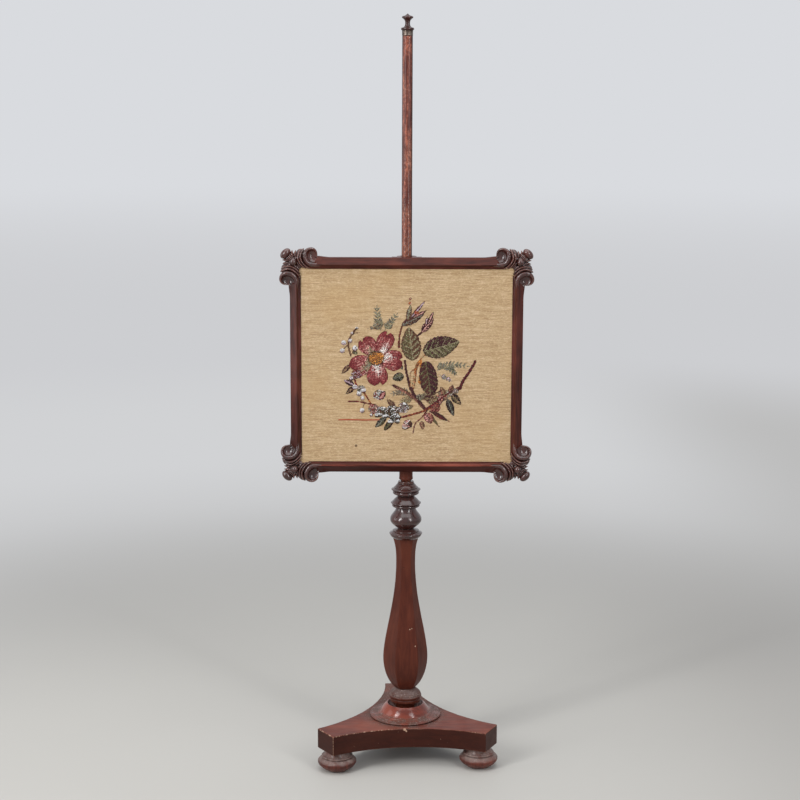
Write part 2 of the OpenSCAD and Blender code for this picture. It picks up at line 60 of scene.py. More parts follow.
def heights(node):
    """Height of a CAD node's foot and of its top, in millimetres."""
    low, high = span(node)
    return low[2], high[2]


def half_width(node):
    """Half of a CAD node's width in x, which is the radius of a turned one, in millimetres."""
    low, high = span(node)
    return (high[0] - low[0]) / 2


# Sizes taken from the frame
PLINTH_FOOT, PLINTH_TOP = heights("base_plinth")
DISH_FOOT, DISH_TOP = heights("dish_collar")
DISH_R = half_width("dish_collar")
RING_FOOT, RING_TOP = heights("column_ring")
RING_R = half_width("column_ring")
BALUSTER_TOP = heights("column_baluster")[1]
CAPITAL_TOP = heights("column_capital")[1]
POLE_TOP = heights("pole")[1]
POLE_R = half_width("pole")
FERRULE_FOOT, FERRULE_TOP = heights("ferrule")
FINIAL_TOP = heights("finial")[1]
CANVAS_LOW, CANVAS_HIGH = span("needlework_canvas")
TOP_RAIL_LOW, TOP_RAIL_HIGH = span("top_rail")
STILE_INNER_X = span("left_stile")[1][0]
BOTTOM_RAIL_TOP = heights("bottom_rail")[1]

# Driving sizes of the dressing
BASE_TURN = math.radians(4)
PLINTH_REACH = 194.0
PLINTH_END_W = 59.0
PLINTH_WAIST = 84.0
BULGE_W = 92.0
BULGE_AT = 67.0
WAIST_W = 39.0
WAIST_AT = 269.0
BALUSTER_FOOT_W = 43.0
BALUSTER_TOP_W = 53.0
COLLAR_H = 19.5
BULB_H = 43.5
LOW_RING_H = 24.5
SPIGOT_R = 4.5
MEETING_GAP = 0.3
REBATE_W = 8.0
REBATE_T = 14.0
CORNER_REACH = 34.0
RAIL_END = 13.0

BACK_Y = TOP_RAIL_HIGH[1]
RAIL_W = TOP_RAIL_HIGH[2] - TOP_RAIL_LOW[2]
RAIL_T = TOP_RAIL_HIGH[1] - TOP_RAIL_LOW[1]
OPENING_LOW = np.array([STILE_INNER_X, BOTTOM_RAIL_TOP])
OPENING_HIGH = -OPENING_LOW[0], TOP_RAIL_LOW[2]
SCREEN_MID_Z = (OPENING_LOW[1] + OPENING_HIGH[1]) / 2


# Small formulas

def to_linear(tone):
    """Screen values of 0 to 255 as linear light, by the sRGB curve."""
    c = np.asarray(tone) / 255.0
    return np.where(c <= 0.04045, c / 12.92, ((c + 0.055) / 1.055) ** 2.4)


def srgb(red, green, blue):
    """A colour given as 0 to 255 on a screen, as linear RGBA."""
    return (*[float(v) for v in to_linear([red, green, blue])], 1.0)


def steps(count):
    """Even steps from 0 to 1."""
    return np.linspace(0, 1, count)


def circle(count):
    """Even steps of angle round a full turn, in radians."""
    return np.arange(count) * 2 * np.pi / count


def ease(value, low, high):
    """Smooth step from 0 at low to 1 at high."""
    t = np.clip((value - low) / (high - low), 0, 1)
    return t * t * (3 - 2 * t)


# Mesh writing

def add_object(name, data):
    """An object for a mesh, lamp or camera, linked to the scene."""
    obj = bpy.data.objects.new(name, data)
    bpy.context.scene.collection.objects.link(obj)
    return obj


def write_mesh(name, points, face_sets):
    """A smooth mesh object at the origin, from points in millimetres and arrays of triangles or quads."""
    mesh = bpy.data.meshes.new(name)
    points = np.asarray(points, dtype=np.float64).reshape(-1, 3)
    loops = np.concatenate([f.ravel() for f in face_sets]).astype(np.int32)
    sizes = np.concatenate([np.full(len(f), f.shape[1]) for f in face_sets])
    starts = np.concatenate([[0], np.cumsum(sizes)[:-1]]).astype(np.int32)
    mesh.vertices.add(len(points))
    mesh.vertices.foreach_set("co", (points * MM).astype(np.float32).ravel())
    mesh.loops.add(len(loops))
    mesh.loops.foreach_set("vertex_index", loops)
    mesh.polygons.add(len(sizes))
    mesh.polygons.foreach_set("loop_start", starts)
    mesh.polygons.foreach_set("use_smooth", np.ones(len(sizes), dtype=bool))
    mesh.update(calc_edges=True)
    mesh.validate()
    return add_object(name, mesh)


def grid_quads(rows, cols, wrap_rows=False, wrap_cols=False):
    """Quads of a grid of points numbered row by row. They face along column step cross row step."""
    i = np.arange(rows if wrap_rows else rows - 1)[:, None]
    j = np.arange(cols if wrap_cols else cols - 1)[None, :]
    i2 = (i + 1) % rows
    j2 = (j + 1) % cols
    quads = np.stack([i * cols + j, i * cols + j2, i2 * cols + j2, i2 * cols + j], axis=-1)
    return quads.reshape(-1, 4)


def closed_tube(rings):
    """Points and faces of a tube through rings of points, shape (rows, cols, 3), its ends closed by a fan."""
    rows, cols, _ = rings.shape
    middle = np.stack([rings[0].mean(axis=0), rings[-1].mean(axis=0)])
    points = np.concatenate([rings.reshape(-1, 3), middle])
    j = np.arange(cols)
    k = (j + 1) % cols
    first = np.stack([np.full(cols, rows * cols), k, j], axis=-1)
    last_row = (rows - 1) * cols
    last = np.stack([np.full(cols, rows * cols + 1), last_row + j, last_row + k], axis=-1)
    return points, [grid_quads(rows, cols, wrap_cols=True), np.concatenate([first, last])]


def flip(faces):
    """The same faces, turned round."""
    return [f[:, ::-1] for f in faces]


def points_of(mesh):
    """Points of a mesh in millimetres."""
    points = np.empty(len(mesh.vertices) * 3, dtype=np.float32)
    mesh.vertices.foreach_get("co", points)
    return points.reshape(-1, 3).astype(np.float64) / MM


def paint(obj, name, value):
    """Writes a number to each point of a piece, as a named attribute that its material reads."""
    layer = obj.data.attributes.get(name) or obj.data.attributes.new(name, "FLOAT", "POINT")
    layer.data.foreach_set("value", np.asarray(value, dtype=np.float32))


def spots(points, marks):
    """Round marks (x, y, z, reach): 1 at each place, falling to 0 past its reach."""
    marks = np.array(marks, dtype=float)
    away = ((points[:, None] - marks[None, :, :3]) ** 2).sum(axis=-1) / marks[:, 3] ** 2
    return np.exp(-away ** 2).max(axis=1)


def mark_edges(obj, rounds=2, gain=0.8):
    """Writes attribute 'edge': mean curvature in 1/mm times gain, above 0 on ridges and below 0 in hollows.

    The curvature is twice the offset of the neighbours' mean along the normal, over the edges' mean square.
    """
    mesh = obj.data
    points = points_of(mesh)
    count = len(points)
    normals = np.empty(count * 3, dtype=np.float32)
    mesh.vertex_normals.foreach_get("vector", normals)
    normals = normals.reshape(-1, 3)
    ends = np.empty(len(mesh.edges) * 2, dtype=np.int32)
    mesh.edges.foreach_get("vertices", ends)
    a, b = ends.reshape(-1, 2).T
    step = points[b] - points[a]
    square = (step ** 2).sum(axis=1)
    degree = np.bincount(a, minlength=count) + np.bincount(b, minlength=count)
    degree = np.maximum(degree, 1)
    pull = np.zeros((count, 3))
    for axis in range(3):
        pull[:, axis] = np.bincount(a, step[:, axis], count) - np.bincount(b, step[:, axis], count)
    spread = (np.bincount(a, square, count) + np.bincount(b, square, count)) / degree
    bend = -2 * (pull * normals).sum(axis=1) / degree / np.maximum(spread, 1e-6)
    bend = np.clip(bend * gain, -1, 1)
    for _ in range(rounds):
        near = (np.bincount(a, bend[b], count) + np.bincount(b, bend[a], count)) / degree
        bend = 0.5 * bend + 0.5 * near
    paint(obj, "edge", bend)
    return bend


def dress(obj, body, material, replaced=()):
    """Gives a new piece its material, slot and body, and hides the CAD nodes that it stands for."""
    obj.data.materials.append(material)
    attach(obj, body)
    if replaced:
        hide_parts(*replaced)
    return obj


# Curves of a turned profile: arrays of [radius, height]

def swell(r0, z0, r1, z1, count=18):
    """Convex quarter: the radius follows a sine and settles at the end."""
    t = steps(count)
    return np.column_stack([r0 + (r1 - r0) * np.sin(t * np.pi / 2), z0 + (z1 - z0) * t])


def hollow(r0, z0, r1, z1, count=18):
    """Quarter whose radius settles at the start and moves fast at the end."""
    t = steps(count)
    return np.column_stack([r0 + (r1 - r0) * (1 - np.cos(t * np.pi / 2)), z0 + (z1 - z0) * t])


def ogee(r0, z0, r1, z1, count=26):
    """Double curve: the radius follows half a cosine and settles at both ends."""
    t = steps(count)
    return np.column_stack([r0 + (r1 - r0) * (1 - np.cos(t * np.pi)) / 2, z0 + (z1 - z0) * t])


def half_round(r, z0, z1, bulge, count=14):
    """Half ellipse standing out of radius r between two heights."""
    t = steps(count) * np.pi
    return np.column_stack([r + bulge * np.sin(t), z0 + (z1 - z0) * (1 - np.cos(t)) / 2])


def slant(r0, z0, r1, z1, bow=0.0, count=20):
    """Straight slope that bows out by a sine in its middle."""
    t = steps(count)
    return np.column_stack([r0 + (r1 - r0) * t + bow * np.sin(t * np.pi), z0 + (z1 - z0) * t])


def fillet(r, z0, z1, deep=1.4):
    """Square band with eased edges over a groove, and a step over it, both of one depth."""
    return np.array([[r - deep, z0], [r - deep - 0.2, z0 + 0.5], [r - deep, z0 + 0.9], [r - 0.3, z0 + 1.0],
                     [r, z0 + 1.3], [r, z1 - 0.3], [r - 0.3, z1], [r - deep, z1 + 0.1]])


def even(profile, pitch):
    """The profile with points added, so that no step is longer than pitch."""
    profile = np.asarray(profile, dtype=float)
    length = np.hypot(*np.diff(profile, axis=0).T)
    parts = [profile[:1]]
    for p, q, d in zip(profile[:-1], profile[1:], length):
        n = max(1, int(math.ceil(d / pitch)))
        t = np.arange(1, n + 1)[:, None] / n
        parts.append(p + (q - p) * t)
    return np.concatenate(parts)


def ripple(angle, height, amount, seed):
    """Unevenness of hand turning in millimetres: a few waves round and along the piece, of seeded phase."""
    waves = 6
    rng = np.random.default_rng(seed)
    out = np.zeros(np.broadcast(angle, height).shape)
    for _ in range(waves):
        turns = rng.integers(1, 6)
        pitch = rng.uniform(12, 60)
        phase = rng.uniform(0, 2 * np.pi, 2)
        out += np.sin(turns * angle + phase[0]) * np.sin(2 * np.pi * height / pitch + phase[1])
    return amount * out / waves


DENT_REACH = (1.5, 4.0)
DENT_DEPTH = (0.2, 0.7)
DENT_LEAST_R = 5


def lathe(name, profile, centre=(0.0, 0.0), segments=112, pitch=1.2, uneven=0.05, seed=1, closed=False,
          dents=0):
    """Surface of revolution: an even profile [radius, height] turned about a vertical line, with ripples.

    A closed profile is a tube's section. An open one is closed on the axis at both ends. Dents are round
    hollows of seeded place, reach and depth.
    """
    profile = even(profile, pitch)
    angle = circle(segments)
    r = profile[:, :1] + ripple(angle[None, :], profile[:, 1:], uneven, seed) * (profile[:, :1] > 1)
    z = np.broadcast_to(profile[:, 1:], r.shape)
    rings = np.stack([r * np.cos(angle), r * np.sin(angle), z], axis=-1)
    rng = np.random.default_rng(seed + 100)
    for _ in range(dents):
        at = rings[rng.integers(len(profile)), rng.integers(segments)]
        reach = rng.uniform(*DENT_REACH)
        depth = rng.uniform(*DENT_DEPTH) * np.exp(-((rings - at) ** 2).sum(axis=-1) / reach ** 2)
        keep = 1 - depth / np.maximum(np.hypot(rings[..., 0], rings[..., 1]), DENT_LEAST_R)
        rings[..., :2] *= keep[..., None]
    rings[..., :2] += np.array(centre)
    if closed:
        points = rings.reshape(-1, 3)
        faces = [grid_quads(len(profile), segments, wrap_rows=True, wrap_cols=True)]
    else:
        points, faces = closed_tube(rings)
    obj = write_mesh(name, points, faces)
    mark_edges(obj)
    return obj


# Shader building

def add_node(tree, kind, settings=None, **inputs):
    """Adds a shader node. Settings are its own properties. Inputs are values or sockets, _ is a space."""
    made = tree.nodes.new("ShaderNode" + kind)
    for key, value in (settings or {}).items():
        setattr(made, key, value)
    for key, value in inputs.items():
        put(tree, made.inputs[key.replace("_", " ")], value)
    return made


def put(tree, socket, value):
    """Links a socket to an input, or sets the input's value."""
    if isinstance(value, bpy.types.NodeSocket):
        tree.links.new(value, socket)
    else:
        socket.default_value = value


def blend(tree, share, first, second):
    """Colour mix of two colours or sockets."""
    made = tree.nodes.new("ShaderNodeMix")
    made.data_type = "RGBA"
    for index, value in ((0, share), (6, first), (7, second)):
        put(tree, made.inputs[index], value)
    return made.outputs[2]


def calc(tree, operation, first, second=0.0, clamp=False):
    """Math node with two inputs."""
    made = tree.nodes.new("ShaderNodeMath")
    made.operation = operation
    made.use_clamp = clamp
    put(tree, made.inputs[0], first)
    put(tree, made.inputs[1], second)
    return made.outputs[0]


def scale_to(tree, value, low, high, new_low=0.0, new_high=1.0):
    """Smooth map of low..high onto new_low..new_high, clamped."""
    made = add_node(tree, "MapRange", {"interpolation_type": "SMOOTHSTEP"}, Value=value, From_Min=low,
                    From_Max=high, To_Min=new_low, To_Max=new_high)
    return made.outputs[0]


def layered(tree, colour, *layers):
    """Mixes tones into a colour, one after the other.

    Each layer is a field, the range of it, the share mixed in at both ends of that range, and the tone.
    """
    for field, low, high, at_low, at_high, tone in layers:
        colour = blend(tree, scale_to(tree, field, low, high, at_low, at_high), colour, srgb(*tone))
    return colour


def noise(tree, vector, scale, detail=3.0, roughness=0.55, distortion=0.0):
    """Value of a noise texture, about 0.5 on average."""
    made = add_node(tree, "TexNoise", None, Vector=vector, Scale=scale, Detail=detail, Roughness=roughness,
                    Distortion=distortion)
    return made.outputs["Fac"]


def stretch(tree, vector, x, y, z):
    """Vector times a constant vector."""
    made = add_node(tree, "VectorMath", {"operation": "MULTIPLY"})
    put(tree, made.inputs[0], vector)
    made.inputs[1].default_value = (x, y, z)
    return made.outputs[0]


def axes(tree, vector):
    """The X, Y and Z of a vector."""
    return add_node(tree, "SeparateXYZ", None, Vector=vector).outputs


def attribute(tree, name, output="Fac"):
    """A number or a colour that is written on the piece."""
    return add_node(tree, "Attribute", {"attribute_name": name}).outputs[output]


def new_group(name, inputs, outputs):
    """An empty shader group with named sockets: pairs of name and kind, Float, Color or Vector."""
    group = bpy.data.node_groups.new(name, "ShaderNodeTree")
    for direction, sockets in (("INPUT", inputs), ("OUTPUT", outputs)):
        for label, kind in sockets:
            group.interface.new_socket(name=label, in_out=direction, socket_type="NodeSocket" + kind)
    return group, group.nodes.new("NodeGroupInput").outputs, group.nodes.new("NodeGroupOutput").inputs


def use_group(tree, group, **inputs):
    """Puts a group into a material and returns its outputs."""
    made = tree.nodes.new("ShaderNodeGroup")
    made.node_tree = group
    for key, value in inputs.items():
        put(tree, made.inputs[key.replace("_", " ")], value)
    return made.outputs


# Tones of wear, of dark hollows that are partly dirt and partly painted shade, and of dusting that is partly
# a painted sheen, 0 to 255
DIRT = (22, 13, 11)
SPECK = (178, 164, 156)
FLECK = (190, 165, 145)
BARE_CHIP = (184, 150, 128)
DUST_TONE = (150, 138, 134)


def wood_figure_group():
    """Grain along Z of the vector: pores, broad streaks, large clouds and short mottles mix three browns."""
    group, given, out = new_group(
        "wood_figure",
        [("Vector", "Vector"), ("Dark", "Color"), ("Mid", "Color"), ("Light", "Color"), ("Mottle", "Float")],
        [("Color", "Color"), ("Height", "Float")])
    pores = noise(group, stretch(group, given["Vector"], 1, 1, 0.05), scale=900, detail=4)
    streaks = noise(group, stretch(group, given["Vector"], 1, 1, 0.10), scale=150, detail=5, roughness=0.6,
                    distortion=0.6)
    clouds = noise(group, stretch(group, given["Vector"], 1, 1, 0.5), scale=16)
    body = blend(group, scale_to(group, streaks, 0.35, 0.68), given["Dark"], given["Mid"])
    body = blend(group, scale_to(group, clouds, 0.45, 0.72, 0.0, 0.8), body, given["Light"])
    mottles = noise(group, stretch(group, given["Vector"], 1, 1, 0.7), scale=250, roughness=0.7)
    spotted = calc(group, "MULTIPLY", scale_to(group, mottles, 0.42, 0.56), given["Mottle"], True)
    body = blend(group, spotted, body, given["Dark"])
    dark_pore = scale_to(group, pores, 0.30, 0.42, 0.4, 0.0)
    body = blend(group, dark_pore, body, given["Dark"])
    put(group, out["Color"], body)
    put(group, out["Height"], calc(group, "ADD", pores, calc(group, "MULTIPLY", streaks, 0.6)))
    return group


def wear_group():
    """Wear, painted highlight and painted shade by three marks, broken up by noise.

    The edge mark gives pale ridges, partly rubbed wear and partly a painted highlight, dark hollows, partly
    dirt and partly painted shade, and worn flecks. A second mark greys places with specks: wear and dusting
    on some pieces, painted sheen, shade and light on others. The chip mark gives bare chips.
    """
    group, given, out = new_group(
        "wear",
        [("Vector", "Vector"), ("Color", "Color"), ("Edge", "Float"), ("Pale", "Color"), ("Dirt", "Color"),
         ("Soil", "Float"), ("Soiled", "Color"), ("Chip", "Float"), ("Rub", "Float"), ("Grime", "Float"),
         ("Chips", "Float")],
        [("Color", "Color"), ("Bare", "Float"), ("Dirty", "Float")])
    patchy = noise(group, given["Vector"], scale=55, detail=5, roughness=0.65)
    fine = noise(group, given["Vector"], scale=340, detail=4, roughness=0.65)
    rubbing = scale_to(group, patchy, 0.25, 0.75, 0.2, 1.5)
    # Pale ridges: partly rubbed wear, partly a painted highlight.
    ridge = scale_to(group, calc(group, "MULTIPLY", given["Edge"], rubbing), 0.05, 0.42)
    ridge = calc(group, "MULTIPLY", ridge, given["Rub"], True)
    # Dark hollows: partly dirt, partly painted shade.
    hollow_mark = scale_to(group, calc(group, "MULTIPLY", given["Edge"], -1.0), 0.03, 0.30)
    dirty = calc(group, "MULTIPLY", hollow_mark, given["Grime"], True)
    fleck = scale_to(group, calc(group, "ADD", given["Edge"], calc(group, "MULTIPLY", fine, 0.9)), 0.83, 0.93)
    fleck = calc(group, "MULTIPLY", calc(group, "MULTIPLY", fleck, scale_to(group, patchy, 0.50, 0.62)),
                 given["Chips"], True)
    soil = calc(group, "MULTIPLY", given["Soil"], scale_to(group, patchy, 0.35, 0.60, 0.25, 1.0), True)
    speck = calc(group, "MULTIPLY", soil, scale_to(group, fine, 0.56, 0.66, 0.0, 0.7))
    ragged = calc(group, "ADD", given["Chip"], calc(group, "MULTIPLY", fine, 0.5))
    chip = scale_to(group, ragged, 0.66, 0.86)
    colour = blend(group, soil, given["Color"], given["Soiled"])
    colour = blend(group, speck, colour, srgb(*SPECK))
    colour = blend(group, dirty, colour, given["Dirt"])
    colour = blend(group, calc(group, "MULTIPLY", ridge, 0.6), colour, given["Pale"])
    colour = blend(group, fleck, colour, srgb(*FLECK))
    colour = blend(group, chip, colour, srgb(*BARE_CHIP))
    put(group, out["Color"], colour)
    bare = calc(group, "MAXIMUM", ridge, fleck)
    put(group, out["Bare"], calc(group, "MAXIMUM", bare, calc(group, "MAXIMUM", soil, chip)))
    put(group, out["Dirty"], dirty)
    return group


def dust_group():
    """Thin grey dusting on faces that look up, in soft patches: partly real, partly a painted sheen of those
    faces.
    """
    group, given, out = new_group(
        "dust",
        [("Vector", "Vector"), ("Normal", "Vector"), ("Color", "Color"), ("Amount", "Float")],
        [("Color", "Color"), ("Mask", "Float")])
    up = scale_to(group, axes(group, given["Normal"])["Z"], 0.35, 0.95)
    cloud = noise(group, given["Vector"], scale=38, detail=4, roughness=0.6)
    patches = scale_to(group, cloud, 0.30, 0.70, 0.35, 1.0)
    mask = calc(group, "MULTIPLY", calc(group, "MULTIPLY", up, patches), given["Amount"], True)
    put(group, out["Color"], blend(group, mask, given["Color"], srgb(*DUST_TONE)))
    put(group, out["Mask"], mask)
    return group


def polish_group():
    """Old polish: roughness from smears, more where it is dull, and height from a pitted skin."""
    group, given, out = new_group(
        "polish",
        [("Vector", "Vector"), ("Low", "Float"), ("High", "Float"), ("Dull", "Float"), ("Pitting", "Float")],
        [("Roughness", "Float"), ("Height", "Float")])
    smears = noise(group, stretch(group, given["Vector"], 1, 1, 0.45), scale=60, detail=5, roughness=0.62)
    pits = noise(group, stretch(group, given["Vector"], 1, 1, 0.55), scale=330, roughness=0.6)
    rough = add_node(group, "MapRange", None, Value=smears, From_Min=0.3, From_Max=0.7, To_Min=given["Low"],
                     To_Max=given["High"]).outputs[0]
    dulled = calc(group, "MULTIPLY", given["Dull"], 0.25)
    put(group, out["Roughness"], calc(group, "ADD", rough, dulled, True))
    put(group, out["Height"], calc(group, "MULTIPLY", pits, given["Pitting"]))
    return group


WOOD_FIGURE = wood_figure_group()
WEAR = wear_group()
DUST = dust_group()
POLISH = polish_group()


def new_material(name):
    """An emptied material with its output, Principled shader and Object coordinates."""
    material = bpy.data.materials.new(name)
    material.use_nodes = True
    tree = material.node_tree
    tree.nodes.clear()
    shader = tree.nodes.new("ShaderNodeBsdfPrincipled")
    output = tree.nodes.new("ShaderNodeOutputMaterial")
    tree.links.new(shader.outputs["BSDF"], output.inputs["Surface"])
    where = tree.nodes.new("ShaderNodeTexCoord").outputs["Object"]
    return material, tree, shader, where


def surface(tree, shader, colour, roughness, height=None, strength=0.0, depth=0.0, **constants):
    """Links a shader's colour, roughness and bump, and sets plain values on other inputs, _ for a space."""
    put(tree, shader.inputs["Base Color"], colour)
    put(tree, shader.inputs["Roughness"], roughness)
    if height is not None:
        raised = add_node(tree, "Bump", None, Strength=strength, Distance=depth, Height=height)
        put(tree, shader.inputs["Normal"], raised.outputs[0])
    for key, value in constants.items():
        shader.inputs[key.replace("_", " ")].default_value = value


GRAIN_TURN = {"X": (0, math.pi / 2, 0), "Z": (0, 0, 0)}


def wood(name, dark, mid, light, grain="Z", low=0.32, high=0.5, coat=0.3, rub=0.5, grime=0.8, chips=0.5,
         dust=0.1, pitting=0.4, mottle=0.0, pale=(140, 88, 70), soiled=(92, 72, 66), bump=0.25, sides=None,
         blur=0.14, gloss=1.5):
    """Polished wood: figure along the grain, wear and dusting with painted highlight, shade and sheen, and an
    uneven old polish, dull where it is worn.

    rub, grime, chips and dust weigh the marks: pale ridges, partly rubbed wear and partly a painted
    highlight; dark hollows, partly dirt and partly painted shade; chips; and grey faces that look up, partly
    dusted and partly a
    painted sheen. sides is a painted shade: a darker tone for upright faces than for the tops. blur is the
    roughness of the polish and gloss its index of refraction.
    """
    material, tree, shader, where = new_material(name)
    turned = add_node(tree, "Mapping", None, Vector=where, Rotation=GRAIN_TURN[grain]).outputs[0]
    figure = use_group(tree, WOOD_FIGURE, Vector=turned, Dark=srgb(*dark), Mid=srgb(*mid), Light=srgb(*light),
                       Mottle=mottle)
    normal = tree.nodes.new("ShaderNodeNewGeometry").outputs["Normal"]
    tone = figure["Color"]
    # Painted shade: upright faces take the darker sides tone, while the tops keep the figure's tone.
    if sides:
        tone = layered(tree, tone, (axes(tree, normal)["Z"], 0.35, 0.75, 0.85, 0.0, sides))
    # The edge mark pales ridges, partly as rubbed wear and partly as a painted highlight, and darkens
    # hollows, partly with dirt and partly as painted shade.
    marks = {label: attribute(tree, label.lower()) for label in ("Edge", "Soil", "Chip")}
    worn = use_group(tree, WEAR, Vector=where, Color=tone, Pale=srgb(*pale), Dirt=srgb(*DIRT),
                     Soiled=srgb(*soiled), Rub=rub, Grime=grime, Chips=chips, **marks)
    # Grey faces that look up: partly dusted, partly a painted sheen.
    dusty = use_group(tree, DUST, Vector=where, Normal=normal, Color=worn["Color"], Amount=dust)
    dull = calc(tree, "MAXIMUM", calc(tree, "MAXIMUM", worn["Bare"], worn["Dirty"]), dusty["Mask"])
    skin = use_group(tree, POLISH, Vector=turned, Low=low, High=high, Dull=dull, Pitting=pitting)
    height = calc(tree, "ADD", calc(tree, "MULTIPLY", figure["Height"], 0.35), skin["Height"])
    surface(tree, shader, dusty["Color"], skin["Roughness"], height, strength=bump, depth=0.6 * MM,
            Coat_Roughness=blur, Coat_IOR=gloss, Specular_IOR_Level=0.04)
    if coat:
        put(tree, shader.inputs["Coat Weight"], scale_to(tree, dull, 0.0, 1.0, coat, 0.25 * coat))
    return material


def metal(name, base, tarnish, low=0.28, high=0.55):
    """Old metal: two tones in soft clouds, dulled where it is tarnished."""
    material, tree, shader, where = new_material(name)
    cloud = scale_to(tree, noise(tree, where, scale=160, detail=5, roughness=0.65), 0.35, 0.65)
    colour = blend(tree, cloud, srgb(*base), srgb(*tarnish))
    grit = noise(tree, where, scale=700, detail=4)
    surface(tree, shader, colour, scale_to(tree, cloud, 0, 1, low, high), grit, strength=0.2, depth=0.4 * MM,
            Metallic=1.0)
    return material


DARK_WOOD = {"dark": (46, 20, 16), "mid": (74, 34, 28), "light": (98, 48, 38)}
FRAME_WOOD = {"dark": (54, 24, 19), "mid": (84, 39, 31), "light": (108, 54, 43)}
RED_WOOD = {"dark": (94, 35, 22), "mid": (122, 49, 31), "light": (144, 64, 41)}
FADED_WOOD = {"dark": (90, 36, 24), "mid": (116, 50, 33), "light": (136, 66, 44)}
COLUMN_WOOD = {"dark": (72, 33, 24), "mid": (86, 41, 29), "light": (98, 50, 36)}
CAPITAL_WOOD = {"dark": (46, 20, 16), "mid": (62, 27, 22), "light": (80, 37, 29)}

FRAME_ACROSS = wood("frame_mahogany_across", grain="X", rub=0.35, chips=0.25, dust=0.0, coat=0.22,
                    **FRAME_WOOD)
# The bottom rail's copy of the frame wood: a lighter palette, painted light on the slope that looks up, and a
# darker tone on upright faces, painted shade.
FRAME_LOW = wood("frame_mahogany_low", grain="X", rub=0.35, chips=0.25, dust=0.0, coat=0.3,
                 sides=(52, 23, 18), dark=(72, 33, 27), mid=(114, 56, 46), light=(144, 76, 62))
FRAME_UPRIGHT = wood("frame_mahogany_upright", rub=0.35, chips=0.25, dust=0.0, coat=0.35, **FRAME_WOOD)
# Carved and turned wood pale their ridges and darken their hollows strongly: partly wear and dirt, partly
# painted highlight and painted shade.
CARVED = wood("carved_mahogany", rub=0.5, grime=1.0, chips=0.0, dust=0.05, coat=1.0, pitting=0.0, bump=0.05,
              blur=0.15, gloss=1.6, pale=(170, 124, 110), **DARK_WOOD)
TURNED = wood("turned_mahogany", rub=0.6, grime=1.0, chips=0.2, dust=0.1, coat=1.0, pitting=0.1, bump=0.06,
              blur=0.14, gloss=1.6, pale=(160, 104, 84), **CAPITAL_WOOD)
FINIAL_WOOD = wood("finial_mahogany", rub=0.2, grime=1.0, chips=0.0, dust=0.05, coat=0.7, pitting=0.1,
                   bump=0.06, blur=0.18, dark=(38, 16, 13), mid=(52, 23, 19), light=(68, 31, 25))
WORN_TURNED = wood("worn_turned_mahogany", rub=0.6, chips=0.6, dust=0.2, low=0.35, high=0.6, coat=0.2,
                   pale=(150, 126, 116), soiled=(108, 90, 86), **COLUMN_WOOD)
FACETED = wood("faceted_mahogany", rub=0.4, chips=0.3, dust=0.05, low=0.4, high=0.6, coat=0.2, blur=0.3,
               bump=0.1, **COLUMN_WOOD)
DISH_WOOD = wood("dish_mahogany", grain="X", rub=0.3, chips=0.4, dust=0.0, low=0.22, high=0.36, coat=0.9,
                 bump=0.1, blur=0.16, soiled=(94, 70, 63), **RED_WOOD)
# The plinth's upright faces take a darker tone than its top: painted shade.
PLINTH_WOOD = wood("plinth_mahogany", grain="X", rub=0.45, chips=0.5, dust=0.1, pale=(176, 122, 100),
                   coat=0.2, soiled=(94, 70, 64), sides=(42, 21, 16), **FADED_WOOD)
POLE_WOOD = wood("pole_mahogany", dark=(76, 30, 24), mid=(170, 100, 79), light=(196, 136, 110), low=0.34,
                 high=0.46, pitting=0.4, bump=0.15, dust=0.0, mottle=0.7, coat=0.7, blur=0.16)
FOOT_WOOD = wood("foot_mahogany", rub=0.6, chips=0.8, dust=0.2, low=0.35, high=0.6, coat=0.5, blur=0.2,
                 soiled=(136, 118, 112), grime=1.0, dark=(62, 27, 21), mid=(100, 49, 39), light=(120, 64, 52))
BACK_WOOD = wood("plain_back_wood", dark=(112, 83, 57), mid=(130, 99, 69), light=(146, 115, 82), grain="X",
                 low=0.55, high=0.75, coat=0.0, dust=0.3, chips=0.2)
BRASS = metal("tarnished_brass", (168, 134, 84), (70, 56, 44))
FERRULE_METAL = metal("dull_ferrule", (112, 102, 94), (76, 62, 56), 0.35, 0.5)
IRON = metal("dark_iron", (70, 66, 62), (48, 34, 26), 0.45, 0.7)


# Base

def plinth_outline(count):
    """Closed outline of the plinth: flat ends joined by arcs, its corners rounded by a running mean."""
    end_points, arc_points = 40, 200
    half = PLINTH_END_W / 2
    chord_half = PLINTH_REACH * math.sin(math.pi / 3) - half * math.cos(math.pi / 3)
    chord_at = PLINTH_REACH * math.cos(math.pi / 3) + half * math.sin(math.pi / 3)
    dip = chord_at - PLINTH_WAIST
    radius = (chord_half ** 2 + dip ** 2) / (2 * dip)
    reach = math.asin(chord_half / radius)
    parts = []
    for k in range(3):
        end = BASE_TURN + math.pi / 2 + k * 2 * math.pi / 3
        along = np.array([math.cos(end), math.sin(end)])
        across = np.array([-math.sin(end), math.cos(end)])
        parts.append(PLINTH_REACH * along + np.linspace(-half, half, end_points)[:, None] * across)
        side = end + math.pi / 3
        swing = side + math.pi + np.linspace(reach, -reach, arc_points)[1:-1]
        middle = (PLINTH_WAIST + radius) * np.array([math.cos(side), math.sin(side)])
        parts.append(middle + radius * np.column_stack([np.cos(swing), np.sin(swing)]))
    line = np.concatenate(parts)
    line = np.concatenate([line, line[:1]])
    walk = np.concatenate([[0], np.cumsum(np.hypot(*np.diff(line, axis=0).T))])
    even_walk = np.arange(count) * walk[-1] / count
    line = np.column_stack([np.interp(even_walk, walk, line[:, axis]) for axis in range(2)])
    neighbours = (-1, 0, 1)
    return sum(np.roll(line, shift, axis=0) for shift in neighbours) / len(neighbours)


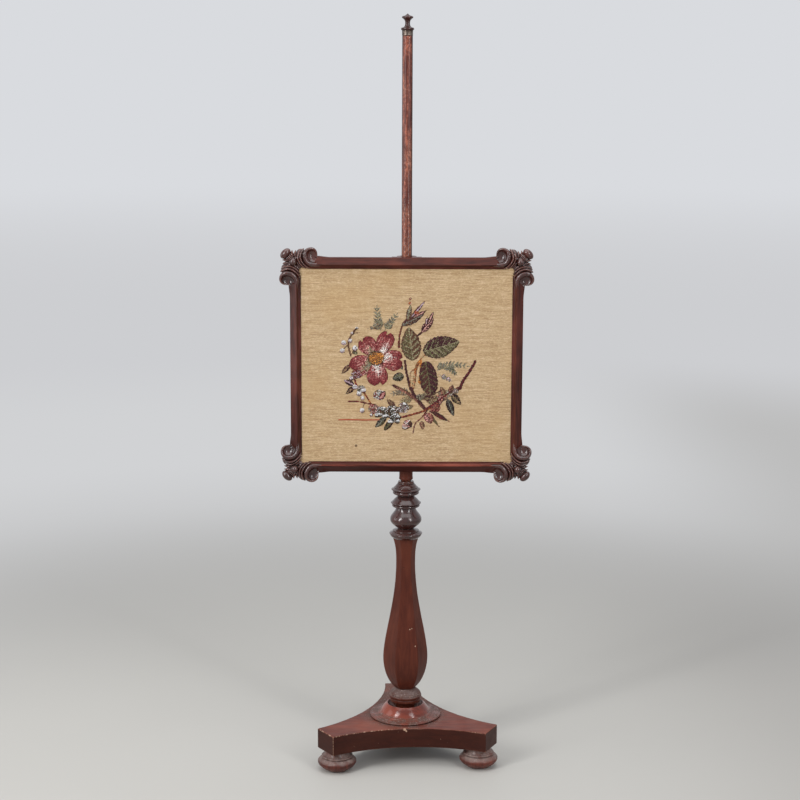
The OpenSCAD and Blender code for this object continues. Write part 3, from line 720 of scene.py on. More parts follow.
def make_plinth():
    """Plinth: rows of the outline, drawn in towards the axis on the two faces and rounded at both edges."""
    line = plinth_outline(1080)
    ahead = np.roll(line, -1, axis=0) - np.roll(line, 1, axis=0)
    out = np.column_stack([ahead[:, 1], -ahead[:, 0]])
    out /= np.hypot(*out.T)[:, None]
    low, high = PLINTH_FOOT, PLINTH_TOP
    rng = np.random.default_rng(7)
    walk = np.arange(len(line)) / len(line) * 2 * np.pi
    chipped = np.zeros(len(line))
    for turns in (7, 19, 43, 97, 180):
        chipped += np.sin(turns * walk + rng.uniform(0, 6.3))
    edge_loss = 0.25 + 0.5 * np.clip(chipped - 1.0, 0, 2)
    foot_round = 1.0
    top_round = 0.9 + edge_loss
    bend = np.linspace(0, np.pi / 2, 6)
    level = np.ones(len(line))
    rows = [(line * share, low * level) for share in np.linspace(0.02, 0.98, 14)]
    rows += [(line - out * foot_round * (1 - np.sin(a)), (low + foot_round * (1 - np.cos(a))) * level)
             for a in bend]
    rows += [(line, (low + (high - low) * share) * level) for share in np.linspace(0.08, 0.92, 12)]
    rows += [(line - out * (top_round * (1 - np.cos(a)))[:, None], high - top_round * (1 - np.sin(a)))
             for a in bend]
    rows += [(line * share, high * level) for share in np.linspace(0.98, 0.02, 40)]
    obj = write_mesh("plinth_slab", *closed_tube(np.stack([np.column_stack(row) for row in rows])))
    ridges = mark_edges(obj, rounds=1, gain=3.0)
    points = points_of(obj.data)
    x, y, z = points.T
    on_top = z > high - 2
    # The top is greyer round the dish, partly dusted and partly painted shade at the dish's foot, and greyer
    # and darker on the rear arm, painted light standing in for its grazing reflection.
    soil_reach = 26
    round_dish = 0.8 * (1 - ease(np.hypot(x, y), DISH_R, DISH_R + soil_reach))
    rear_arm = 0.9 * ease(y, 20, 80)
    paint(obj, "soil", np.maximum(round_dish, rear_arm) * on_top)
    # Marks as (x, y, z, reach), listed one by one apart from the random specks
    front = -PLINTH_WAIST
    scratch = [(88 + 1.5 * k, front - 8 - 0.6 * k, high - 8 - 1.8 * k, 1.1) for k in range(7)]
    arris = [(-144.0, -132.6, low + step, 1.2) for step in np.arange(1, high - low, 0.8)]
    chips = [(-1, front, high - 1.5, 4.0), (2.5, front - 0.5, high - 5, 2.6), (-167, -74, high, 2.6),
             (-161, -70, high, 1.8), (-172, -80, high - 1, 1.8)]
    margin = 3
    upright = np.flatnonzero((z > low + margin) & (z < high - margin) & (y < 0))
    specks = [(*points[k], 0.9) for k in rng.choice(upright, 18)]
    flecks = np.sin(0.9 * x) + np.sin(0.37 * x + 1) + np.sin(2.1 * x + 2)
    front_edge = on_top * (ridges > 0.12) * (y < front + 8)
    rubbed = front_edge * ease(-x, 5, 30) * ease(flecks, -0.4, 1.0)
    paint(obj, "chip", np.maximum.reduce([
        0.7 * spots(points, chips), 0.52 * spots(points, arris), 0.58 * spots(points, scratch + specks),
        0.58 * rubbed]))
    dress(obj, "stand", PLINTH_WOOD, ["base_plinth"])


def make_feet():
    """Bun feet: pad, fat bead, groove, thin ring and neck, each turned about its own centre."""
    for number, node in enumerate(("foot_front_left", "foot_front_right", "foot_rear")):
        low, high = span(node)
        r, h = half_width(node), PLINTH_FOOT
        profile = np.concatenate([
            [[0, 0], [0.50 * r, 0]],
            swell(0.57 * r, 0.4, r, 0.42 * h),
            hollow(r, 0.44 * h, 0.83 * r, 0.61 * h),
            [[0.77 * r, 0.62 * h], [0.75 * r, 0.635 * h], [0.75 * r, 0.655 * h]],
            half_round(0.765 * r, 0.66 * h, 0.735 * h, 0.04 * r),
            [[0.73 * r, 0.74 * h], [0.70 * r, 0.745 * h]],
            swell(0.69 * r, 0.75 * h, 0.585 * r, 0.96 * h),
            [[0.585 * r, h - 0.05], [0, h - 0.05]]])
        centre = (low[:2] + high[:2]) / 2
        foot = lathe("bun_" + node, profile, centre, uneven=0.15, seed=20 + number, dents=26)
        paint(foot, "soil", 0.8 * ease(points_of(foot.data)[:, 2], 0.42 * h, 0.62 * h))
        dress(foot, "stand", FOOT_WOOD, [node])


def make_dish():
    """Dish: stepped flange, swollen bead and an open mouth whose wall slopes down to the floor."""
    r, z, top = DISH_R, DISH_FOOT, DISH_TOP
    mouth, bore, rim = 35.5, 14.1, 5.0
    swollen, cove = 50.0, 9.5
    t = steps(30)
    dome_part = np.column_stack([swollen - (swollen - mouth - 2.5) * t ** 1.35,
                                 z + cove + (top - z - cove) * t])
    profile = np.concatenate([
        [[bore, z], [r - 5.0, z], [r - 5.0, z + 1.5]],
        half_round(r - 1.4, z + 1.6, z + rim - 0.5, 1.4),
        [[r - 1.8, z + rim - 0.3], [r - 3.6, z + rim], [r - 4.2, z + rim - 0.5], [r - 4.8, z + rim + 0.2]],
        [[r - 9.5, z + rim + 0.7], [r - 10.0, z + rim + 0.1], [r - 10.6, z + rim + 0.8]],
        [[r - 15.5, z + rim + 1.6], [r - 16.0, z + rim + 1.2], [r - 16.4, z + rim + 1.9]],
        hollow(r - 16.6, z + rim + 1.9, swollen + 0.6, z + cove - 0.3),
        dome_part,
        swell(mouth + 1.4, top - 0.1, mouth, top - 1.4, 8),
        [[mouth - 1.5, top - 4], [24, z + 12], [19.6, z + 9], [bore, z + 8]]])
    dish = lathe("dish", profile, uneven=0.12, seed=31, closed=True, dents=24)
    out = np.hypot(*points_of(dish.data)[:, :2].T)
    # The flange is greyer, partly dusted and partly a painted sheen of its upward faces; the mouth's inner
    # wall is greyer and lighter, painted light on a wall that lies in shade.
    flange_soil = 0.95 * ease(out, swollen - 1.5, swollen + 2)
    paint(dish, "soil", flange_soil + 0.9 * (1 - ease(out, mouth, mouth + 2)))
    dress(dish, "stand", DISH_WOOD, ["dish_collar"])


def make_ring():
    """Ring under the baluster: stem, undercut lip with a worn scalloped edge and a double curve above it."""
    r, z, h = RING_R, RING_FOOT, RING_TOP - RING_FOOT
    profile = np.concatenate([
        [[0, z], [19, z], [19, z + 0.42 * h]],
        swell(20, z + 0.43 * h, 0.92 * r, z + 0.47 * h),
        [[0.945 * r, z + 0.48 * h], [0.95 * r, z + 0.575 * h]],
        [[0.90 * r, z + 0.59 * h], [0.90 * r, z + 0.61 * h]],
        half_round(0.955 * r, z + 0.62 * h, z + 0.73 * h, 0.045 * r),
        [[0.955 * r, z + 0.735 * h]],
        half_round(0.93 * r, z + 0.74 * h, z + 0.79 * h, 0.025 * r),
        ogee(0.92 * r, z + 0.80 * h, BALUSTER_FOOT_W / 2, z + h - 0.4),
        [[BALUSTER_FOOT_W / 2 - 1, z + h], [0, z + h]]])
    ring = lathe("ring_moulding", profile, uneven=0.25, seed=41, dents=60, pitch=0.9)
    x, y, height = points_of(ring.data).T
    angle = np.arctan2(y, x)
    bitten = ease(np.sin(9 * angle + 1) + np.sin(23 * angle) + np.sin(41 * angle + 2), 0.6, 1.6)
    on_lip = np.exp(-((height - z - 0.77 * h) / (0.06 * h)) ** 2) * ease(np.hypot(x, y), 0.80 * r, 0.92 * r)
    paint(ring, "chip", 0.6 * bitten * on_lip)
    # The upper part is greyer: partly dusted and worn, partly a painted sheen of the faces that look up.
    paint(ring, "soil", 0.9 * ease(height, z + 0.66 * h, z + 0.76 * h))
    dress(ring, "stand", WORN_TURNED, ["column_ring"])


def baluster_radius(z):
    """Radius across corners at height z over the baluster's foot.

    It follows a quarter ellipse up to the bulge, a cosine to the waist and a power curve to the top.
    """
    top = BALUSTER_TOP - RING_TOP
    depth = BULGE_AT / math.sqrt(1 - (BALUSTER_FOOT_W / BULGE_W) ** 2)
    below = BULGE_W / 2 * np.sqrt(np.clip(1 - ((BULGE_AT - z) / depth) ** 2, 0, 1))
    share = np.clip((z - BULGE_AT) / (WAIST_AT - BULGE_AT), 0, 1) ** 0.8
    above = WAIST_W / 2 + (BULGE_W - WAIST_W) / 2 * (1 + np.cos(np.pi * share)) / 2
    flare = np.clip((z - WAIST_AT) / (top - WAIST_AT), 0, 1) ** 2.6
    crown = WAIST_W / 2 + (BALUSTER_TOP_W - WAIST_W) / 2 * flare
    return np.where(z < BULGE_AT, below, np.where(z < WAIST_AT, above, crown))


def make_baluster():
    """Baluster: at each height a hexagon with softened corners.

    Its radius is the apothem over a high-power mean of the cosines to the six facet normals.
    """
    height = np.linspace(0, BALUSTER_TOP - RING_TOP, 230)
    angle = circle(360)
    normals = BASE_TURN + np.pi / 2 + np.arange(6) * np.pi / 3
    facing = np.clip(np.cos(angle[:, None] - normals), 0, 1)
    sharp = 70
    hexagon = math.cos(math.pi / 6) / (facing ** sharp).sum(axis=1) ** (1 / sharp)
    r = baluster_radius(height)[:, None] * hexagon
    r = r + ripple(angle[None, :], height[:, None], 0.12, 51)
    level = np.broadcast_to(height[:, None], r.shape)
    rings = np.stack([r * np.cos(angle), r * np.sin(angle), level], axis=-1)
    rings[..., 2] += RING_TOP
    # Chips as (x, z, reach) on the front facet and its arrises, of which the first ones are fresh and pale
    chips = ((9, 274, 2.0), (13, 275.5, 1.8), (20, 240, 2.0), (-19, 240, 1.4), (-4, 400, 1.2))
    pale_chips, chip_depth = 3, 0.9
    for x, z, reach in chips:
        away = np.hypot(rings[..., 0] - x, rings[..., 2] - z) / reach
        front = rings[..., 1] < 0
        rings[..., 1] += front * chip_depth * np.exp(-away ** 4)
    obj = write_mesh("hexagonal_baluster", *closed_tube(rings))
    mark_edges(obj, rounds=1)
    points = points_of(obj.data)
    fresh = [(x, 0, z, reach) for x, z, reach in chips[:pale_chips]]
    paint(obj, "chip", 0.6 * spots(points * (1, 0, 1), fresh) * (points[:, 1] < 0))
    dress(obj, "stand", FACETED, ["column_baluster"])


def make_capital():
    """Capital: collar, bulb and two rings, each rim a thin bead between a fat round below it and a slope."""
    z, top = BALUSTER_TOP, CAPITAL_TOP
    neck, shoulder = 16.0, 20.0
    collar, bulb, low, high = 33.2, 31.8, 30.6, 29.5
    bulb_z = z + COLLAR_H
    low_z = bulb_z + BULB_H
    high_z = low_z + LOW_RING_H
    profile = np.concatenate([
        [[0, z], [BALUSTER_TOP_W / 2, z]],
        swell(BALUSTER_TOP_W / 2 + 0.3, z + 0.3, collar - 1.6, z + 0.34 * COLLAR_H),
        fillet(collar, z + 0.36 * COLLAR_H, z + 0.52 * COLLAR_H),
        slant(collar - 2.0, z + 0.54 * COLLAR_H, collar - 7, z + 0.70 * COLLAR_H, 0.3),
        fillet(collar - 6.4, z + 0.70 * COLLAR_H, z + 0.80 * COLLAR_H, 1.0),
        slant(collar - 8.0, z + 0.82 * COLLAR_H, neck, bulb_z - 0.4),
        swell(neck, bulb_z + 0.4, bulb, bulb_z + 0.42 * BULB_H, 30),
        ogee(bulb, bulb_z + 0.46 * BULB_H, shoulder, low_z - 0.2, 36),
        [[shoulder - 0.6, low_z + 0.2], [shoulder - 0.6, low_z + 1.0]],
        half_round(low - 6.4, low_z + 1.2, low_z + 7.4, 4.0),
        [[low - 5.0, low_z + 7.5], [low - 4.6, low_z + 8.0]],
        half_round(low - 1.4, low_z + 8.2, low_z + 10.6, 1.4, 10),
        [[low - 1.9, low_z + 10.7]],
        slant(low - 2.1, low_z + 10.9, neck, high_z - 0.3, 0.6),
        swell(neck, high_z + 0.4, high - 7.4, high_z + 2.6, 8),
        half_round(high - 7.2, high_z + 2.6, high_z + 10.6, 4.4),
        [[high - 5.4, high_z + 10.7], [high - 5.0, high_z + 11.3]],
        half_round(high - 1.4, high_z + 11.6, high_z + 14.0, 1.4, 10),
        [[high - 2.0, high_z + 14.1]],
        slant(high - 2.2, high_z + 14.3, high - 5.4, high_z + 16.0),
        half_round(high - 6.2, high_z + 16.2, high_z + 18.0, 0.8, 8),
        [[high - 7.0, high_z + 18.1]],
        slant(high - 7.2, high_z + 18.3, neck + 1.4, top - 5.4, 0.3),
        fillet(neck + 0.6, top - 5.2, top - 2.6, 0.9),
        half_round(neck - 1.0, top - 2.2, top, 0.6, 8),
        [[11, top], [0, top]]])
    capital = lathe("turned_capital", profile, uneven=0.08, seed=61, pitch=0.8, dents=5)
    dress(capital, "stand", TURNED, ["column_capital"])


# Pole, finial and sleeves

def make_pole():
    """Pole: a long round stick with the finial's spigot, with painted shade: darker at its sides, a little
    paler in front.
    """
    r = POLE_R
    foot, seat, top = CAPITAL_TOP + MEETING_GAP, FERRULE_FOOT - MEETING_GAP, POLE_TOP
    profile = np.array([[0, foot], [r, foot], [r * 0.995, seat], [SPIGOT_R, seat], [SPIGOT_R, top - 1],
                        [SPIGOT_R - 1, top], [0, top]])
    pole = lathe("round_pole", profile, segments=64, pitch=4, uneven=0.04, seed=71)
    # Painted shade: the edge mark falls towards the left and right sides as seen from the front, a little off
    # centre, and stays slightly raised in the middle.
    side = np.abs(points_of(pole.data)[:, 0] + 0.06 * r) / r
    paint(pole, "edge", 0.08 - 0.36 * ease(side, 0.62, 0.95))
    dress(pole, "pole", POLE_WOOD, ["pole"])


def make_finial():
    """Ferrule with two soft beads, and a finial: flare, neck and lens-shaped disc under a pointed button."""
    covered = 2.2
    z, top = FERRULE_FOOT, FERRULE_TOP - covered
    h = top - z
    r, bore = 10.85, 9.3
    band = np.concatenate([
        [[bore, z], [r - 0.4, z]],
        half_round(r - 0.2, z + 0.04 * h, z + 0.16 * h, 0.15, 6),
        [[r - 0.3, z + 0.2 * h], [r - 0.2, z + 0.8 * h]],
        half_round(r - 0.2, z + 0.84 * h, z + 0.96 * h, 0.15, 6),
        [[r - 0.4, top], [bore, top]]])
    ferrule = lathe("ferrule_band", band, segments=72, pitch=0.8, closed=True, seed=72)
    dress(ferrule, "finial", FERRULE_METAL, ["ferrule"])
    base = top
    n = FINIAL_TOP - base
    socket_top, socket_r, core = POLE_TOP + MEETING_GAP, SPIGOT_R + 0.2, 9.2
    flare, neck, disc = 11.2, 4.7, 9.6
    # Radius, and share of the height over the ferrule
    cove = [[10.4, 0.165], [8.9, 0.18], [7.3, 0.205], [6.2, 0.24], [5.4, 0.28], [4.9, 0.34], [neck, 0.40],
            [neck + 0.1, 0.48], [5.2, 0.55], [6.0, 0.61], [7.4, 0.655], [8.9, 0.70]]
    button = [[8.8, 0.85], [6.8, 0.87], [4.9, 0.89], [3.6, 0.91], [2.4, 0.94], [1.4, 0.97], [0.6, 0.99],
              [0, 1]]
    profile = np.concatenate([
        [[0, socket_top], [socket_r, socket_top], [socket_r, z + 0.4]],
        [[core, z + 0.4], [core, base], [r - 0.5, base + 0.05]],
        half_round(flare, base + 0.01 * n, base + 0.16 * n, 1.6, 12),
        np.array(cove) * [1, n] + [0, base],
        half_round(disc, base + 0.715 * n, base + 0.835 * n, 1.5, 12),
        np.array(button) * [1, n] + [0, base]])
    finial = lathe("turned_finial", profile, segments=72, pitch=0.6, uneven=0.05, seed=73)
    dress(finial, "finial", FINIAL_WOOD, ["finial"])


def make_sleeves():
    """Sleeves: tubes with a softly flared and rounded foot."""
    bore = POLE_R + 0.05
    for seed, place in ((81, "lower"), (82, "upper")):
        node = place + "_sleeve"
        r = half_width(node)
        z, top = heights(node)
        profile = np.concatenate([
            [[bore, z + 0.4], [bore + 0.5, z]],
            swell(r - 1.4, z, r + 0.4, z + 1.6, 8),
            [[r + 0.4, z + 3], [r, z + 7], [r, top - 1], [r - 0.6, top], [bore, top]]])
        tube = lathe(place + "_slide_sleeve", profile, segments=80, uneven=0.05, seed=seed, closed=True)
        dress(tube, "screen", FACETED, [node])


# Frame of the panel

def rail_profile():
    """Section of a rail as [distance out from the opening, height from the back].

    From the rebate it runs out along the back, up the outer edge, over a nearly flat outer slope to a crisp
    crest and down a hollow slope to a thin fillet on the opening.
    """
    crest_at = 0.38 * RAIL_W
    edge = 0.46 * RAIL_T
    t = steps(24)
    slope = np.column_stack([RAIL_W - (RAIL_W - crest_at - 0.9) * t,
                             edge + (RAIL_T - 0.6 - edge) * (t - 0.02 * np.sin(np.pi * t))])
    crest = [[crest_at + 0.4, RAIL_T - 0.15], [crest_at - 0.2, RAIL_T], [crest_at - 0.8, RAIL_T - 0.35]]
    foot = REBATE_T + 2.4
    nose = np.column_stack([crest_at - 0.9 - (crest_at - 4.0) * t,
                            RAIL_T - 0.5 - (RAIL_T - 0.5 - foot) * np.sin(t * np.pi / 2) ** 0.9])
    return np.concatenate([
        [[REBATE_W, REBATE_T], [REBATE_W, 0], [RAIL_W - 1, 0], [RAIL_W, 1], [RAIL_W, edge - 0.8]],
        slope, crest, nose,
        [[2.6, foot - 0.9], [2.2, foot - 1.1], [0.4, foot - 1.2], [0, foot - 1.6], [0, REBATE_T]]])


def rail_rings(u, from_corner):
    """Section carried along u, as points (u, out, height).

    from_corner is each ring's distance from the opening's corner. Near it the outer slope sinks into the
    hollow of the carved crook and the edge swings out to meet it. At the very end the crest dips under the
    carving.
    """
    section = even(rail_profile(), 0.9)
    rings = np.empty((len(u), len(section), 3))
    rings[..., 0] = u[:, None]
    rings[..., 1:] = section
    near = from_corner[:, None]
    out, lift = rings[..., 1].copy(), rings[..., 2].copy()
    sinking = 0.24 * ease(out, 11.0, RAIL_W) * (1 - ease(near, 24.0, 42.0))
    hollowing = 6.0 * ease(out, 9.0, 14.0) * (1 - ease(near, 18.0, 31.0)) * (lift > 7)
    dipping = np.maximum(lift - REBATE_T, 0) * 0.7 * (1 - ease(near, 12.0, 22.0)) * (out < 9)
    rings[..., 2] = lift * (1 - sinking) - hollowing - dipping
    rings[..., 1] += 2.4 * ease(out, 12.0, RAIL_W) * (1 - ease(near, 30.0, 58.0))
    return rings


def seat_in_frame(points, side):
    """Points (u, out, height) of a rail on one side of the opening, as points in the frame of the object.

    u runs from the middle of that side.
    """
    u, out, lift = np.moveaxis(points, -1, 0)
    y = BACK_Y - lift
    if side == "top":
        return np.stack([u, y, OPENING_HIGH[1] + out], axis=-1)
    if side == "bottom":
        return np.stack([-u, y, OPENING_LOW[1] - out], axis=-1)
    if side == "left":
        return np.stack([OPENING_LOW[0] - out, y, SCREEN_MID_Z + u], axis=-1)
    return np.stack([OPENING_HIGH[0] + out, y, SCREEN_MID_Z - u], axis=-1)


RAILS = {"top": ("top_rail", FRAME_ACROSS), "bottom": ("bottom_rail", FRAME_LOW),
         "left": ("left_stile", FRAME_UPRIGHT), "right": ("right_stile", FRAME_UPRIGHT)}


def make_rails():
    """Rails and stiles: the section carried straight between the corners, with slight hand-planed waves.

    The rings lie close together near both ends, where the section changes.
    """
    half_w, half_h = OPENING_HIGH[0], (OPENING_HIGH[1] - OPENING_LOW[1]) / 2
    end_length = 50
    near_end = np.linspace(0, end_length, 50)
    for number, (side, (node, material)) in enumerate(RAILS.items()):
        half = half_w if side in ("top", "bottom") else half_h
        stop = half - RAIL_END
        between = np.linspace(end_length - stop, stop - end_length, 80)[1:-1]
        u = np.concatenate([-stop + near_end, between, stop - near_end[::-1]])
        rings = rail_rings(u, half - np.abs(u))
        front = rings[..., 2] > REBATE_T + 0.5
        rings[..., 2] += front * ripple(rings[..., 0] / 40, rings[..., 1] * 2, 0.25, 90 + number)
        points, faces = closed_tube(seat_in_frame(rings, side))
        obj = write_mesh("moulded_" + node, points, flip(faces))
        mark_edges(obj)
        dress(obj, "screen", material, [node])


# Carved corners, worked out as (u, out, lift): along the rail and out from the opening's corner, off the back

CARVING_VOXEL = 0.5


def curve_through(points, count):
    """Points on the Catmull-Rom curve through a list of points of any dimension, evenly in its parameter."""
    p = np.asarray(points, dtype=float)
    p = np.concatenate([2 * p[:1] - p[1:2], p, 2 * p[-1:] - p[-2:-1]])
    t = np.linspace(0, len(p) - 3, count)
    k = np.minimum(t.astype(int), len(p) - 4)
    f = (t - k)[:, None]
    a, b, c, d = p[k], p[k + 1], p[k + 2], p[k + 3]
    slope, bend, twist = c - a, 2 * a - 5 * b + 4 * c - d, 3 * b - a - 3 * c + d
    return 0.5 * (2 * b + slope * f + bend * f ** 2 + twist * f ** 3)


def strand(path, count=70, sides=26, keel=0.0, flutes=0, flute_depth=0.0):
    """A bar carried along a path of (u, out, lift, half width, half height).

    Its section is an ellipse. keel sharpens the crest to a ridge, and cosine flutes run along it.
    """
    line = curve_through(path, count)
    line[:, 3:] = np.maximum(line[:, 3:], 0.15)
    ahead = np.gradient(line[:, :2], axis=0)
    ahead /= np.hypot(*ahead.T)[:, None]
    side = np.column_stack([-ahead[:, 1], ahead[:, 0]])
    turn = circle(sides)
    rise = (1 - keel) * np.sin(turn) + keel * np.sign(np.sin(turn)) * (1 - np.abs(np.cos(turn)))
    swelling = 1 + flute_depth * np.cos(flutes * turn)
    rings = np.empty((count, sides, 3))
    rings[..., :2] = line[:, None, :2] + side[:, None] * (line[:, 3:4] * np.cos(turn) * swelling)[..., None]
    rings[..., 2] = line[:, 2:3] + line[:, 4:5] * rise * swelling
    return closed_tube(rings)


def lump(centre, half, count=24, sides=36):
    """An ellipsoid with half axes along the diagonal out of the corner, across it, and off the back."""
    lat = np.linspace(-0.49, 0.49, count)[:, None] * np.pi
    lon = circle(sides)
    along = half[0] * np.cos(lat) * np.cos(lon)
    across = half[1] * np.cos(lat) * np.sin(lon)
    rings = np.empty((count, sides, 3))
    rings[..., 0] = centre[0] + (-along - across) * math.sqrt(0.5)
    rings[..., 1] = centre[1] + (along - across) * math.sqrt(0.5)
    rings[..., 2] = centre[2] + half[2] * np.sin(lat)
    return closed_tube(rings)


def spoon(rim, centre, foot, floor, count=26, sides=120):
    """A block with a spoon-shaped hollow in its face.

    rim is a ring of (u, out, lift, power). On each ray from the centre to the rim the face climbs from the
    floor to the rim's lift with that power of the distance.
    """
    ring = np.asarray(rim + rim[:1], dtype=float)
    line = curve_through(ring, sides + 1)[:-1]
    inward = np.linspace(0.97, 0.02, count)[:, None]
    face = floor + (line[:, 2] - floor) * inward ** line[:, 3]
    share = np.concatenate([np.linspace(0.02, 0.97, 6), [1, 1, 1, 0.99], inward[:, 0]])
    base = np.full((7, sides), float(foot))
    wall = np.stack([foot + (line[:, 2] - foot) * part for part in (0.5, 0.9, 1.0)])
    rings = np.empty((len(share), sides, 3))
    rings[..., :2] = np.array(centre) + share[:, None, None] * (line[:, :2] - np.array(centre))
    rings[..., 2] = np.concatenate([base, wall, face])
    return closed_tube(rings)


def rail_arm():
    """A plain bar under the end of each rail, clear of the rebate, which carries the carving."""
    inset = 0.8
    u = np.array([CORNER_REACH, 20.0, 8.0, -4.0])
    section = np.array([[REBATE_W + 1, 0], [RAIL_W - inset, 0], [RAIL_W - inset, 6.5], [REBATE_W + 1, 9.0]])
    rings = np.empty((len(u), len(section), 3))
    rings[..., 0] = u[:, None]
    rings[..., 1:] = section
    return closed_tube(rings)


def corner_forms():
    """Half of the corner's forms, beside the rail, and those on its diagonal."""
    crook = [(50, 8.4, 14.2, 2.4, 3.0), (40, 8.2, 15.6, 3.2, 4.4), (31, 8.0, 16.8, 4.0, 5.0),
             (22.6, 8.6, 17.5, 4.6, 5.2), (15.8, 11.3, 18.1, 4.9, 5.4), (11.0, 16.6, 18.8, 5.0, 5.5),
             (8.5, 23.0, 19.0, 4.8, 5.4), (8.4, 29.6, 18.8, 4.4, 5.2), (11.0, 35.2, 18.0, 3.7, 4.6),
             (15.9, 38.8, 16.8, 3.0, 4.0), (21.8, 39.8, 15.4, 2.5, 3.4), (27.0, 37.7, 13.8, 2.2, 3.0),
             (30.2, 33.3, 12.2, 1.9, 2.6), (31.4, 27.8, 10.6, 1.5, 2.2), (31.8, 23.4, 9.0, 0.8, 1.4)]
    near_rib = [(18.2, 1.4, 15.6, 1.0, 1.4), (13.6, 3.4, 17.2, 1.8, 2.8), (8.2, 7.6, 18.6, 2.3, 3.8),
                (3.4, 13.2, 19.4, 2.6, 4.4), (0.4, 19.4, 19.6, 2.7, 4.6), (-0.2, 25.6, 19.0, 2.8, 4.6),
                (1.4, 31.6, 17.6, 2.9, 4.4), (4.4, 36.8, 15.4, 2.6, 3.8), (6.4, 39.8, 12.8, 1.0, 1.8)]
    middle_rib = [(10.8, 1.2, 15.0, 1.0, 1.2), (6.4, 3.6, 16.6, 1.8, 2.6), (1.4, 8.0, 17.8, 2.2, 3.6),
                  (-2.4, 13.2, 18.4, 2.4, 4.0), (-4.8, 19.0, 18.4, 2.6, 4.2), (-5.2, 25.0, 17.4, 2.7, 4.2),
                  (-3.6, 31.0, 15.4, 2.7, 4.0), (-0.6, 36.0, 12.8, 2.3, 3.2), (1.6, 38.8, 10.4, 0.9, 1.6)]
    far_rib = [(3.4, 2.6, 14.8, 1.0, 1.2), (-1.2, 5.6, 16.0, 1.7, 2.4), (-5.4, 10.4, 16.6, 1.9, 3.0),
               (-8.2, 15.8, 16.6, 2.1, 3.2), (-9.0, 21.4, 15.4, 2.2, 3.4), (-8.0, 27.0, 13.0, 2.2, 3.2),
               (-5.6, 32.0, 10.8, 1.6, 2.4), (-4.4, 34.4, 9.2, 0.8, 1.4)]
    inner_leaf = [(-14.6, 21.6, 12.4, 2.0, 2.2), (-16.0, 26.0, 13.6, 2.8, 3.4), (-17.0, 31.5, 12.6, 2.4, 3.0),
                  (-16.6, 36.8, 10.0, 0.4, 0.6)]
    outer_leaf = [(-11.0, 20.6, 12.0, 2.0, 2.2), (-11.4, 25.4, 12.8, 2.7, 3.2), (-10.8, 31.0, 11.8, 2.3, 2.8),
                  (-9.6, 36.4, 9.6, 0.4, 0.6)]
    corner_leaf = [(-7.4, 8.0, 14.4, 1.6, 2.2), (-4.4, 5.6, 15.4, 2.0, 2.6), (-1.4, 2.2, 14.8, 1.4, 1.8),
                   (0.2, 0.4, 14.2, 0.4, 0.6)]
    back_core = [(9, 16, 6.5, 9, 6.5), (3, 22, 6.5, 11, 6.5), (0, 29, 6.0, 10, 5.8), (3, 36, 5.6, 6, 4.6)]
    hollow_rim = [(36, 11.5, 17.4, 1.8), (26, 8.6, 20.6, 2), (17, 12.0, 21.6, 2), (11.0, 19.0, 22.4, 2),
                  (9.4, 26.0, 22.6, 2), (10.8, 33.2, 21.2, 2), (15.4, 37.6, 19.2, 2), (21.8, 39.0, 17.6, 2),
                  (27.0, 36.8, 15.6, 2), (30.2, 32.6, 13.8, 2), (31.8, 27.0, 12.6, 2),
                  (33.4, 21.6, 12.4, 1.8), (37.0, 16.6, 12.0, 1.8)]
    mirrored = [
        rail_arm(),
        spoon(hollow_rim, (22.5, 26.0), 2.4, 10.8),
        strand(crook, count=130, sides=34, keel=0.12),
        strand(near_rib, count=90, keel=0.35),
        strand(middle_rib, count=90, keel=0.35),
        strand(far_rib, count=90, keel=0.35),
        strand(inner_leaf, count=40, keel=0.6),
        strand(outer_leaf, count=40, keel=0.6),
        strand(corner_leaf, count=40, keel=0.4),
        strand(back_core, count=40),
    ]
    fan = [(-14.0, 13.8, 10.6, 4.0, 5.0), (-18.4, 18.4, 12.2, 6.4, 6.0), (-22.8, 22.8, 12.0, 8.0, 6.0),
           (-26.4, 26.4, 10.6, 8.4, 5.0), (-29.0, 29.0, 9.0, 6.0, 3.0)]
    middle = [
        strand(fan, count=60, sides=120, flutes=15, flute_depth=0.09),
        lump((-29.8, 29.8, 12.8), (8.0, 12.2, 9.6)),
        lump((-14.6, 14.4, 20.8), (7.4, 7.2, 7.6)),
        lump((-15.0, 14.4, 14.0), (8.8, 8.6, 3.2)),
        lump((-13.0, 13.0, 7.2), (15.0, 17.0, 7.2)),
    ]
    return mirrored, middle


def carve_corner():
    """Points and quads of one corner: its forms made one skin of fine voxels, eased by a neighbour mean."""
    mirrored, forms = corner_forms()
    for points, faces in mirrored:
        other = np.column_stack([-points[:, 1], -points[:, 0], points[:, 2]])
        forms += [(points, faces), (other, flip(faces))]
    starts = np.cumsum([0] + [len(points) for points, _ in forms])
    all_points = np.concatenate([points for points, _ in forms])
    all_faces = [f + start for (_, faces), start in zip(forms, starts) for f in faces]
    rough = write_mesh("corner_rough", all_points, all_faces)
    skin = rough.modifiers.new("skin", "REMESH")
    skin.mode = "VOXEL"
    skin.voxel_size = CARVING_VOXEL * MM
    skin.adaptivity = 0
    solid = rough.evaluated_get(bpy.context.evaluated_depsgraph_get())
    mesh = solid.to_mesh()
    points = points_of(mesh)
    quads = np.empty(len(mesh.loops), dtype=np.int32)
    mesh.loops.foreach_get("vertex_index", quads)
    quads = quads.reshape(-1, 4)
    solid.to_mesh_clear()
    bpy.data.objects.remove(rough)
    a = quads.ravel()
    b = np.roll(quads, -1, axis=1).ravel()
    degree = np.bincount(a, minlength=len(points))[:, None]
    easing_rounds = 3
    for _ in range(easing_rounds):
        near = np.column_stack([np.bincount(a, points[b, axis], len(points)) for axis in range(3)])
        points = 0.5 * points + 0.5 * near / degree
    return points, quads


